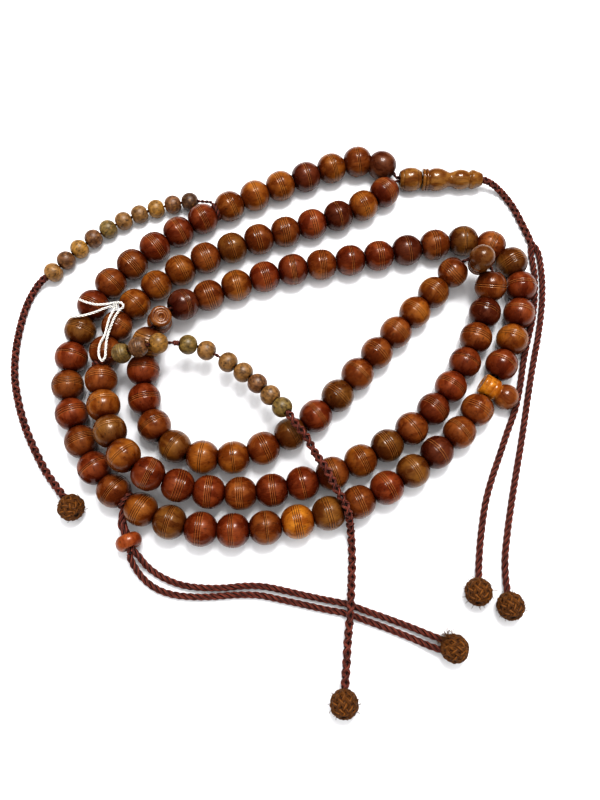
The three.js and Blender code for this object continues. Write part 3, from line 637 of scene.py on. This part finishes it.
def bead_profile(diameter, length, bore, flat, rings, power=0.9, samples=27):
    """A closed outline of (radius, along), and its cut rings: 1 where one is pale, -1 where it is dark."""
    stations, radius = barrel(diameter, length, flat, power, samples)
    marks = [(along, 0.0, 0.0) for along in stations if all(abs(along - g) > RINGS_W * 0.8 for g, _ in rings)]
    for place, depth in rings:
        marks += [(place - RINGS_W / 2, 0, -0.2), (place - RINGS_W / 4, depth, -1), (place, depth, -1)]
        marks += [(place + RINGS_W / 4, depth * 0.6, 1), (place + RINGS_W / 2, 0, 0.2)]
    marks.sort()
    lip = 0.00035
    end = length / 2
    outline = [(bore / 2, -end + lip, 0), (bore / 2 + lip, -end, 0)]
    outline += [(radius(along) - cut, along, ring) for along, cut, ring in marks]
    outline += [(bore / 2 + lip, end, 0), (bore / 2, end - lip, 0)]
    outline = np.array(outline)
    return outline[:, :2], outline[:, 2]


def turned_piece(name, seat, profile, ring, tint, material, body, segments=40):
    """A turned wooden piece. ring and tint are one per profile point, or one tint for all of it."""
    points, faces, source = turned(profile, segments)
    dice = random.Random(name)
    tint = np.broadcast_to(tint, (len(profile), 3))
    marks = {
        "wood": points + [dice.uniform(-1, 1) for _ in range(3)],
        "tint": tint[source],
        "ring": np.asarray(ring, float)[source],
    }
    return new_piece(name, seat.place(points), faces, material, body, marks)


RED_BROWN, OLIVE, AMBER = linear(96, 46, 18), linear(92, 59, 22), linear(108, 64, 19)
DARK, YELLOW, BROWN = linear(76, 36, 17), linear(146, 94, 26), linear(101, 56, 20)
END_VARNISH_AND_SHADE = (0.58, 0.76, 0.74)  # how much darker and redder a bead is at its ends: partly varnish gathered at the holes, partly painted shade where neighbouring beads hide the ends from the light
BEAD_TINTS = [RED_BROWN] * 5 + [BROWN] * 6 + [OLIVE] * 2 + [AMBER] * 4 + [DARK]


def bead_rings(dice):
    """Two to four fine rings cut round a bead's middle, unevenly as by hand."""
    count = dice.choice([2, 3, 3, 4])
    gap = dice.uniform(0.00052, 0.00085)
    middle = dice.uniform(-0.0005, 0.0005)
    return [
        (middle + (i - (count - 1) / 2) * gap + dice.uniform(-0.00006, 0.00006), RINGS_DEEP)
        for i in range(count)
    ]


def ribs(count, reach, depth):
    return [(-reach + 2 * reach * i / (count - 1), depth) for i in range(count)]


def tilted(seat, dice, most):
    """The seat turned a little, as a bead lies a little askew on its thin cord."""
    lean = seat.side * dice.uniform(-most, most) + seat.up * dice.uniform(-most, most)
    return Seat(seat.centre, seat.axis + lean, seat.up)


# ---- The main string ----------------------------------------------------------------------------

MOUTH = np.array([FINIAL_AT[0] - ORIGIN[0], FINIAL_AT[1] - ORIGIN[1], FINIAL_BEAD_D / 2])
CORD_INSIDE = FINIAL_BEAD_L + FINIAL_L * 0.75
ENTRY = 0.0012


def in_finial(side, depth):
    return MOUTH + np.array([depth, side * CORD_PAIR, 0])


def drum_ends(marker):
    middle = on_route(marker["at"], DRUM_D / 2)
    half = unit(np.array(marker["along"], float)) * (DRUM_D / 2 + TOUCH)
    return [middle - half, middle + half]


SETS = [
    {"name": "set_1", "route": SET_1, "beads": 33, "runs": [7, 7, 6, 7, 6], "hitches": [7, 20]},
    {"name": "set_2", "route": SET_2, "beads": 17, "runs": [7, 5, 5], "hitches": []},
    {"name": "set_3", "route": SET_3, "beads": 17, "runs": [8, 5, 4], "hitches": []},
    {"name": "set_4", "route": SET_4, "beads": 33, "runs": [7, 5, 8, 7, 6], "hitches": [20]},
]

string_points = [in_finial(1, CORD_INSIDE), in_finial(1, 0), in_finial(1, -ENTRY)]
drum_points = []
for group, marker in zip(SETS, MARKERS + [None]):
    string_points += raised(group["route"], BEAD_D / 2)
    if marker:
        drum_points.append(len(string_points))
        string_points += drum_ends(marker)
string_points += [in_finial(-1, -ENTRY), in_finial(-1, 0), in_finial(-1, CORD_INSIDE)]
STRING = Route(string_points)

set_starts = [STRING.at_point(2) + MOUTH_LEAD]
set_starts += [STRING.at_point(i + 1) + m["bare"] for i, m in zip(drum_points, MARKERS)]
set_ends = [STRING.at_point(i) - m["bare"] for i, m in zip(drum_points, MARKERS)]
set_ends += [STRING.at_point(len(string_points) - 3) - MOUTH_LEAD]

BEAD_SPACE = 0.00012  # between the faces of two beads that lie together
MOST_LENGTH = 1.05  # the longest bead, in shares of the usual length

# Beads that differ from the rest: in tint, rings or size. The last one makes room for a marker's head.
ODD_BEADS = {
    ("set_1", 1): {"tint": linear(84, 48, 28), "rings": []},
    ("set_1", 26): {"tint": YELLOW, "rings": ribs(4, 0.0011, RINGS_DEEP)},
    ("set_3", 1): {"tint": linear(104, 70, 32), "rings": ribs(6, 0.0030, 0.0001)},
    ("set_3", 17): {"size": 0.95, "length": 0.0104},
}


def main_bead(number, group, index, seat, length, dice):
    odd = ODD_BEADS.get((group, index), {})
    size = odd.get("size", dice.uniform(0.968, 1.0))
    length = odd.get("length", length)
    rings = odd.get("rings", bead_rings(dice))
    tint = np.array(odd.get("tint", dice.choice(BEAD_TINTS))) * dice.uniform(0.88, 1.1)
    profile, ring = bead_profile(BEAD_D * size, length, BEAD_BORE_D, BEAD_FLAT_D, rings)
    # darker and redder towards the ends: varnish gathered at the holes, plus painted shade between
    # neighbouring beads
    tint = tint * (1 - END_VARNISH_AND_SHADE * (2 * profile[:, 1:] / length) ** 2)
    seat = tilted(seat, dice, 0.035)
    seat.centre = seat.centre - np.array([0, 0, BEAD_D / 2 * (1 - size)])
    return turned_piece(
        f"bead_{number:03d}", seat, profile, ring, tint, BEAD_WOOD, "string"
    )


def make_string():
    """All one hundred beads, and the places at which side cords are hitched to the string."""
    hitches = {}
    number = 0
    for group, start, end in zip(SETS, set_starts, set_ends):
        pitch = (end - start - len(group["hitches"]) * HITCH_SPACE) / group["beads"]
        firsts = np.concatenate([[0], np.cumsum(group["runs"])])
        for i in range(group["beads"]):
            passed = [bead for bead in group["hitches"] if bead <= i]
            begin = start + i * pitch + len(passed) * HITCH_SPACE
            number += 1
            seat = between(STRING.at(begin), STRING.at(begin + pitch))
            length = min(pitch - BEAD_SPACE, BEAD_L * MOST_LENGTH)
            bead = main_bead(number, group["name"], i + 1, seat, length, random.Random(number))
            if i in firsts:
                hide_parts(f"beads_{group['name']}_run_{list(firsts).index(i) + 1}")
            if i + 1 in group["hitches"]:
                middle = begin + pitch + HITCH_SPACE / 2
                ends = STRING.at(middle - 0.0005), STRING.at(middle + 0.0005)
                hitches[group["name"], i + 1] = between(*ends)
    return hitches


HITCHES = make_string()

# ---- Marker beads -------------------------------------------------------------------------------

MARKER_TINTS = [
    {"drum": linear(146, 94, 24), "head": linear(104, 60, 26)},
    {"drum": linear(98, 58, 22), "head": BROWN},
    {"drum": AMBER, "head": linear(88, 56, 26)},
]
MARKER_BORE_D = MAIN_CORD_D + 2 * 0.00035


def marker_profile():
    """From the drum's drilled end to the top of the ball, with rings cut in the end and the side."""
    drum, head, end = DRUM_D / 2, HEAD_D / 2, -DRUM_L / 2
    dimple, deep, edge, cut = 0.0006, 0.0011, 0.0009, 0.00012
    outline = [(0, end + deep, 1), (dimple * 0.6, end + deep, 1)]
    outline += [(dimple, end + deep * 0.7, 1), (dimple, end, 0)]
    for ring in (0.0015, 0.0023):
        outline += [(ring - cut, end, 0), (ring, end + cut, 1), (ring + cut, end, 0)]
    for degrees in (0, 22, 45, 68, 90):
        angle = math.radians(degrees)
        outline.append((drum - edge + edge * math.sin(angle), end + edge - edge * math.cos(angle), 0))
    for ring in (-0.0011, 0.0011):
        outline += [(drum, ring - cut, 0), (drum - cut, ring, 1), (drum, ring + cut, 0)]
    neck = HEAD_REACH - head * math.cos(math.radians(41))
    outline += [(drum, neck - 0.0009, 0), (drum - 0.0004, neck - 0.0003, 0)]
    for degrees in range(139, 0, -9):
        angle = math.radians(degrees)
        outline.append((head * math.sin(angle), HEAD_REACH + head * math.cos(angle), 0))
    outline.append((0, HEAD_REACH + head, 0))
    outline = np.array(outline)
    return outline[:, :2], outline[:, 2], neck


def cut_hole(piece, seat, diameter, length):
    """Cuts a round hole along the seat's axis through a piece."""
    rod = [(0, -length), (diameter / 2, -length), (diameter / 2, length), (0, length)]
    points, faces, _ = turned(rod, 20)
    mesh = bpy.data.meshes.new("rod")
    mesh.from_pydata(seat.place(points), [], faces)
    rod = added("rod", mesh)
    modifier = piece.modifiers.new("hole", "BOOLEAN")
    modifier.object = rod
    modifier.operation = "DIFFERENCE"
    modifier.solver = "EXACT"
    bpy.context.view_layer.update()
    cut = bpy.data.meshes.new_from_object(piece.evaluated_get(bpy.context.evaluated_depsgraph_get()))
    piece.modifiers.clear()
    piece.data = cut
    bpy.data.objects.remove(rod)


def make_marker(number, marker, tints):
    start, end = drum_ends(marker)
    cord = unit(end - start)
    head = np.array(marker["head"], float)
    head = unit(head - head.dot(cord) * cord)
    centre = (start + end) / 2
    profile, ring, neck = marker_profile()
    tint = np.where(profile[:, 1:] > neck, tints["head"], tints["drum"])
    name = f"marker_bead_{number}"
    piece = turned_piece(
        f"marker_{number}", Seat(centre, head, cord), profile, ring, tint, BEAD_WOOD, name
    )
    cut_hole(piece, Seat(centre, cord, head), MARKER_BORE_D, DRUM_D)
    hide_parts(name)


for number, (marker, tints) in enumerate(zip(MARKERS, MARKER_TINTS), 1):
    make_marker(number, marker, tints)

# ---- Finial -------------------------------------------------------------------------------------

FINIAL_TINT = linear(104, 70, 31)
FINIAL_SEAMS = (0.0013, 0.0026)  # where its collar's two rings and its first lobe meet


def finial_bead_profile():
    rings = [(-0.0028, 0.00008), (0.0028, 0.00008)]
    profile, ring = bead_profile(FINIAL_BEAD_D, FINIAL_BEAD_L, FINIAL_BORE_D, 0.006, rings, 0.8, 25)
    return np.column_stack([profile[:, 0], profile[:, 1] + FINIAL_BEAD_L / 2, ring])


def smooth_profile(points, samples):
    """A smooth outline through a few (radius, along) points."""
    curve = Route([(radius, along, 0) for radius, along in points])
    return [(r, a, 0) for r, a, _ in curve.at(np.linspace(0, curve.length, samples))]


def finial_body_profile():
    """A collar of two fine rings, two lobes with a waist between them, and a tapering cap."""
    collar, bore = COLLAR_D / 2, FINIAL_BORE_D / 2
    bulge = 0.0006
    outline = [(bore, 0, 0), (collar - 0.0007, 0, 0)]
    for start in (0.0, FINIAL_SEAMS[0]):
        for degrees in (-70, -40, 0, 40, 70):
            angle = math.radians(degrees)
            radius = collar - bulge + bulge * math.cos(angle)
            outline.append((radius, start + 0.00065 + bulge * math.sin(angle), 0))
        outline.append((collar - 0.0009, start + FINIAL_SEAMS[0], 0.7))
    lobe, neck, small = LOBE_D / 2, NECK_D / 2, SMALL_LOBE_D / 2
    outline += smooth_profile([
        (lobe - 0.0008, 0.0028), (lobe - 0.0002, 0.0041), (lobe, 0.0060), (lobe - 0.0003, 0.0080),
        (lobe - 0.0010, 0.0097), (neck, 0.0113), (neck + 0.0003, 0.0125), (small - 0.0002, 0.0143),
        (small, 0.0159), (small - 0.0004, 0.0178), (small - 0.0009, 0.0189),
    ], 44)
    cap, tip = CAP_D / 2, TIP_D / 2
    outline += [(cap - 0.0009, 0.0191, 0.8)]
    outline += smooth_profile([
        (cap - 0.0005, 0.0194), (cap, 0.0202), (cap - 0.0001, 0.0212), (cap - 0.0005, 0.0222),
        (tip + 0.0002, 0.0236), (tip - 0.0002, 0.0244),
    ], 16)
    outline += [(bore + 0.0002, FINIAL_L, 0), (bore, FINIAL_L - 0.0003, 0)]
    return np.array(outline)


def make_finial():
    parts = [
        ("finial_bead", finial_bead_profile(), MOUTH),
        ("finial_body", finial_body_profile(), MOUTH + np.array([FINIAL_BEAD_L + TOUCH, 0, 0])),
    ]
    for node, outline, start in parts:
        seat = Seat(start, (1, 0, 0))
        profile, ring = outline[:, :2], outline[:, 2]
        piece = turned_piece(
            f"{node}_wood", seat, profile, ring, FINIAL_TINT, FINIAL_WOOD, node, 64
        )
        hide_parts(node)


make_finial()

# ---- Cords --------------------------------------------------------------------------------------

STRAND_FULLNESS = 0.99  # a strand's thickness, in shares of the one that would touch its neighbours
INTO_BALL = 0.0004  # how far a cord reaches into its ball
BRAID_LAY = 2.1  # the length of one whole turn of a braid's strands, in diameters


def twisted(strands, line, diameter, ply=3, lay=3.1, sides=8):
    """Adds the twisted strands of a rope. lay is the length of one whole twist, in diameters."""
    share = math.sin(math.pi / ply)
    offset = diameter / 2 / (1 + share)
    radial, other = square_to(line)
    along = distances(line)
    for k in range(ply):
        turn = (2 * math.pi * (along / (diameter * lay) + k / ply))[:, None]
        out = radial * np.cos(turn) + other * np.sin(turn)
        strands.add(line + offset * out, offset * share * STRAND_FULLNESS, sides, out)


def braided(strands, line, diameter):
    """Adds the four strands of a round braid, two each way, that pass over and under each other."""
    radial, other = square_to(line)
    along = distances(line)
    turn = 2 * math.pi * along / (diameter * BRAID_LAY)
    for way in (1, -1):
        for half in (0, math.pi):
            angle = (way * turn + half)[:, None]
            out = radial * np.cos(angle) + other * np.sin(angle)
            offset = diameter * (0.265 + 0.075 * way * np.cos(2 * turn))[:, None]
            strands.add(line + offset * out, diameter * 0.185, 8, out, 0.3 + 0.4 * (half > 0))


def length_before_ball(curve, centre):
    """The length at which a cord has just entered its ball."""
    length = curve.length
    while np.linalg.norm(curve.at(length) - centre) < KNOT_D / 2 - INTO_BALL:
        length -= 0.00005
    return length


def knot_at(place):
    return np.array([place[0] - ORIGIN[0], place[1] - ORIGIN[1], KNOT_D / 2])


def blended(piece):
    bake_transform(piece)


# ---- Knotted balls ------------------------------------------------------------------------------

KNOT_LEADS, KNOT_BIGHTS = 9, 10  # times round the ball, and swings towards each pole
KNOT_STRAND_D = 0.00134


def knot_ball(name, node, centre, entry, body, frayed=0):
    """A ball woven from one strand as a Turk's head knot round a core, with a few loose fibres."""
    dice = random.Random(name)
    seat = Seat(centre, entry, (0.31, 0.22, 0.93))
    radius = KNOT_D / 2 - KNOT_STRAND_D / 2 - 0.0002
    s = np.linspace(0, 2 * math.pi, 901)
    weave = np.cos(KNOT_LEADS * KNOT_BIGHTS * s) * np.tanh(4 * np.sin(KNOT_BIGHTS * s))
    latitude = np.radians(70) * np.cos(KNOT_BIGHTS * s)
    longitude = KNOT_LEADS * s
    reach = radius + 0.0002 * weave
    line = np.stack([
        reach * np.cos(latitude) * np.sin(longitude), reach * np.sin(latitude),
        reach * np.cos(latitude) * np.cos(longitude),
    ], axis=1)
    outward = line / np.linalg.norm(line, axis=1)[:, None]
    strands = Strands()
    strands.add(seat.place(line), KNOT_STRAND_D / 2, 7, outward @ seat.matrix, 0.55)
    core = np.linspace(-radius, radius, 13)
    girth = np.sqrt(np.maximum(radius ** 2 - core ** 2, 0)) + 0.0001
    axis = np.stack([np.zeros(13), core, np.zeros(13)], axis=1)
    strands.add(seat.place(axis), girth, 20, None, 0.1)
    for _ in range(40 + frayed):
        strands.add(loose_fibre(seat, dice, frayed), 0.00007, 4, None, dice.uniform(0.4, 1.4))
    piece = strands.piece(name, KNOT, body, "knot")
    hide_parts(node)
    return piece


def loose_fibre(seat, dice, frayed):
    """One short fibre that stands out of a ball. A frayed ball has most of them on its far top side."""
    way = np.array([dice.gauss(0, 1), dice.gauss(0, 1), dice.gauss(0, 1)])
    if frayed:
        way = way * 0.35 + np.array([-0.45, -0.9, 0.55])
    way = unit(way)
    bend = np.array([dice.gauss(0, 1), dice.gauss(0, 1), dice.gauss(0, 1)]) * 0.0005
    length = dice.uniform(0.0002, 0.0006) + 0.0007 * bool(frayed)
    steps = np.linspace(0, 1, 5)[:, None]
    line = way * (KNOT_D / 2 - 0.0005 + (length + 0.0005) * steps) + bend * steps ** 2
    line = seat.place(line)
    line[:, 2] = np.maximum(line[:, 2], 0.0002)
    return line


# ---- Counter strands ----------------------------------------------------------------------------

KHAKI, TAN, GREEN = linear(110, 80, 44), linear(126, 92, 48), linear(100, 82, 42)
GOLDEN, COUNTER_BROWN, COUNTER_DARK = linear(128, 94, 40), linear(96, 64, 38), linear(70, 46, 28)
COUNTER_TINTS = {
    "a": [COUNTER_DARK, COUNTER_BROWN, GOLDEN, KHAKI, KHAKI]
    + [GREEN, COUNTER_BROWN, GOLDEN, COUNTER_BROWN, TAN],
    "b": [GREEN, COUNTER_BROWN, GOLDEN, GREEN, KHAKI, KHAKI, KHAKI, COUNTER_BROWN, KHAKI, GREEN],
}
RIBBED_COUNTERS = {("b", 1), ("b", 2)}
HITCH_START = 0.0018  # how far from the main cord's middle a side cord begins
HITCH_RING, HITCH_TURNS = 0.0029, 2
KNOTTED_AFTER = {("b", 3)}  # the cord has a lump of its own in the bare stretch after this bead


def counter_bead(letter, number, seat):
    name = f"counter_{letter}_{number:02d}"
    dice = random.Random(name)
    size = dice.uniform(0.96, 1.0)
    rings = ribs(5, 0.0017, 0.00009) if (letter, number) in RIBBED_COUNTERS else []
    profile, ring = bead_profile(
        COUNTER_D * size, COUNTER_L, COUNTER_BORE_D, COUNTER_FLAT_D, rings, 0.92, 19
    )
    tint = np.array(COUNTER_TINTS[letter][number - 1]) * dice.uniform(0.92, 1.08)
    piece = turned_piece(
        f"small_{letter}_{number:02d}", seat, profile, ring, tint, COUNTER_WOOD, name, 32
    )
    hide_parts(name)


def hitch_wrap(strands, seat, diameter):
    """A side cord lashed round the main cord between two beads."""
    angles = np.linspace(0, 2 * math.pi * HITCH_TURNS, 48 * HITCH_TURNS)[:, None]
    drift = (angles / (2 * math.pi) - HITCH_TURNS / 2) * diameter * 0.45
    ring = HITCH_RING * (seat.side * np.cos(angles) + seat.up * np.sin(angles))
    line = seat.centre + ring + seat.axis * drift
    twisted(strands, line, diameter, ply=2)


def counter_strand(letter, points, knot_place, lead, slack, hitch):
    centre = knot_at(knot_place)
    curve = Route(raised(points, COUNTER_CORD_D / 2) + [centre])
    start = lead
    cord = Strands()
    hitch_wrap(cord, hitch, COUNTER_CORD_D)
    for number in range(1, 11):
        counter_bead(letter, number, between(curve.at(start), curve.at(start + COUNTER_L)))
        start += COUNTER_L
        last = start
        start += COUNTER_SPACE + slack.get(number, 0)
        if (letter, number) in KNOTTED_AFTER:
            twisted(cord, curve.stretch(start - 0.0024, start - 0.0004, 0.0001), 0.002, ply=2, lay=1.0)
    outward = unit(curve.at(0) - hitch.centre)
    way = Route([hitch.centre + outward * HITCH_START] + list(curve.stretch(0.0012, last, 0.003)))
    twisted(cord, way.stretch(0, way.length, 0.0003), COUNTER_CORD_D, ply=2)
    piece = cord.piece(f"strand_cord_{letter}", CORD, "string", "cord")
    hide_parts(f"counter_{letter}_cord")

    # The tail is thicker, so it has a curve of its own through the same points.
    tail = Route(raised(points, TAIL_D / 2) + [centre])
    begin = tail.lengths[int(np.interp(last + TOUCH / 2, curve.lengths, range(len(curve.lengths))))]
    line = tail.stretch(begin, length_before_ball(tail, centre), 0.0004)
    braid = Strands()
    braided(braid, line, TAIL_D)
    rope = braid.piece(f"tail_{letter}", CORD, None, "cord")
    body = f"counter_{letter}_tail"
    if letter == "a":
        start, end = tail.at(begin), tail.at(begin + 0.016)
        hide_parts("counter_a_tail")
    else:
        pivot = tail.at_point(TAIL_B_PIVOT)
        start, end = tail.at(pivot - 0.006), tail.at(pivot + 0.006)
        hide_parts("counter_b_tail_top", "counter_b_tail")
    blended(rope)
    ball = knot_ball(f"ball_{letter}", f"counter_{letter}_knot", centre, centre - line[-1], body)


counter_strand("a", COUNTER_A, KNOT_A, COUNTER_LEAD_A, COUNTER_SLACK_A, HITCHES["set_1", 7])
counter_strand("b", COUNTER_B, KNOT_B, COUNTER_LEAD_B, COUNTER_SLACK_B, HITCHES["set_4", 20])

# ---- Tassel -------------------------------------------------------------------------------------


def leg_line(points, diameter, knot_place, side, lead_in):
    """A leg's centreline from its lead-in to its ball, which it enters this far to one side."""
    centre = knot_at(knot_place)
    ends = raised(points, diameter / 2)
    way = unit(centre - ends[-1])
    target = centre + np.array([-way[1], way[0], 0]) * side
    curve = Route(lead_in + ends + [target])
    return curve.stretch(0, length_before_ball(curve, centre), 0.00036), centre


def make_tassel():
    tip = MOUTH + np.array([FINIAL_BEAD_L + TOUCH + FINIAL_L, 0, 0])
    inside = MOUTH + np.array([CORD_INSIDE + TOUCH, 0, 0])
    curve = Route([inside, tip] + raised(TASSEL, TASSEL_D / 2))
    line = curve.stretch(0, curve.length, 0.0004)
    braid = Strands()
    braided(braid, line, TASSEL_D)
    rope = braid.piece("tassel_rope", CORD, "string", "cord")
    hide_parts("tassel_braid")
    legs = [
        ("left", LEG_LEFT, KNOT_LEFT, "string", "tassel_leg_left", -0.0005),
        ("right", LEG_RIGHT, KNOT_RIGHT, "tassel_leg_left", "tassel_leg_right", 0.0005),
    ]
    for name, points, place, above, body, aside in legs:
        lead_in = [line[-1] + np.array([aside, 0.0008, 0])]
        path, centre = leg_line(points, LEG_D, place, 0, lead_in)
        strands = Strands()
        twisted(strands, path, LEG_D, ply=3)
        leg = strands.piece(f"leg_{name}", CORD, None, "cord")
        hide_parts(f"tassel_leg_{name}")
        blended(leg)
        ball = knot_ball(f"ball_{name}", f"tassel_knot_{name}", centre, centre - path[-1], body)


make_tassel()

# ---- Sliding disc and its doubled cord ----------------------------------------------------------


def make_slider():
    hitch = HITCHES["set_1", 20]
    route = raised(SLIDER, SLIDER_CORD_D / 2)
    curve = Route([hitch.centre + unit(route[0] - hitch.centre) * HITCH_START] + route)
    line = curve.stretch(0, curve.length, 0.0003)
    cord = Strands()
    hitch_wrap(cord, hitch, 0.0013)
    twisted(cord, line, SLIDER_CORD_D * 0.94, ply=4, lay=4.5)
    piece = cord.piece("slider_neck", CORD, "string", "cord")
    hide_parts("slider_cord")

    disc_seat = Seat(route[2], route[2] - route[1])
    bore = SLIDER_CORD_D + 0.0007
    half = DISC_L / 2
    rim = (DISC_D - bore) / 2 - 0.0004
    outline = [(bore / 2, -half + 0.0003, 0), (bore / 2 + 0.0003, -half, 0)]
    for degrees in range(-66, 67, 12):
        angle = math.radians(degrees)
        radius = bore / 2 + 0.0004 + rim * math.cos(angle)
        outline.append((radius, half * math.sin(angle) / math.sin(math.radians(68)), 0))
    outline += [(bore / 2 + 0.0003, half, 0), (bore / 2, half - 0.0003, 0)]
    outline = np.array(outline)
    disc = turned_piece(
        "disc", disc_seat, outline[:, :2], outline[:, 2], linear(116, 60, 28), BEAD_WOOD,
        "slider_disc", 48,
    )
    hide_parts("slider_disc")

    pieces = []
    for name, points, side, aside in (
        ("upper", SLIDER_UPPER, PAIR_AT_KNOT, 0.0006), ("lower", SLIDER_LOWER, -PAIR_AT_KNOT, -0.0006),
    ):
        lead_in = [route[-1] + np.array([aside, aside, 0])]
        path, centre = leg_line(points, SLIDER_LEG_D, KNOT_SLIDER, side, lead_in)
        strands = Strands()
        twisted(strands, path, SLIDER_LEG_D, ply=3)
        leg = strands.piece(f"slider_{name}", CORD, None, "cord")
        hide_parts(f"slider_leg_{name}")
        blended(leg)
        pieces.append((leg, path))
    way = centre - (pieces[0][1][-1] + pieces[1][1][-1]) / 2
    ball = knot_ball("ball_slider", "slider_knot", centre, way, "slider_legs", frayed=30)


make_slider()

# ---- Main cord and tie thread -------------------------------------------------------------------


def make_main_cord():
    line = STRING.stretch(0, STRING.length, 0.0007)
    strands = Strands()
    twisted(strands, line, MAIN_CORD_D, ply=2, lay=3.0, sides=6)
    piece = strands.piece("string_cord", CORD, "string", "cord")
    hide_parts("main_cord")


def tie_knot(strands, turn):
    """The small knot that pinches the doubled thread together."""
    centre = on_route((-0.0644, 0.0338, 0.0119), THREAD_D / 2)
    angles = np.linspace(0, 2 * math.pi, 33)
    across = np.array([-0.3, 0.95, 0]) * 0.0014
    line = centre + np.outer(np.cos(angles), across) + np.outer(np.sin(angles), [0, 0, 0.0007])
    line += np.outer(np.sin(angles + 2 * math.pi * turn), np.array([0.95, 0.3, 0]) * 0.0004)
    twisted(strands, line, THREAD_D * 0.6, ply=3, lay=4.0, sides=6)


def make_thread():
    curve = Route(raised(THREAD, THREAD_D / 2))
    line = curve.stretch(0, curve.length, 0.00025)
    strands = Strands()
    twisted(strands, line, THREAD_D, ply=3, lay=4.0, sides=6)
    for turn in (0.0, 0.5):
        tie_knot(strands, turn)
    piece = strands.piece("white_tie", THREAD_WHITE, "string", "thread")
    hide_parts("tie_thread")


make_main_cord()
make_thread()

# ---- Sizes --------------------------------------------------------------------------------------


def corners(bounds):
    return [[float(v) for v in corner] for corner in bounds]
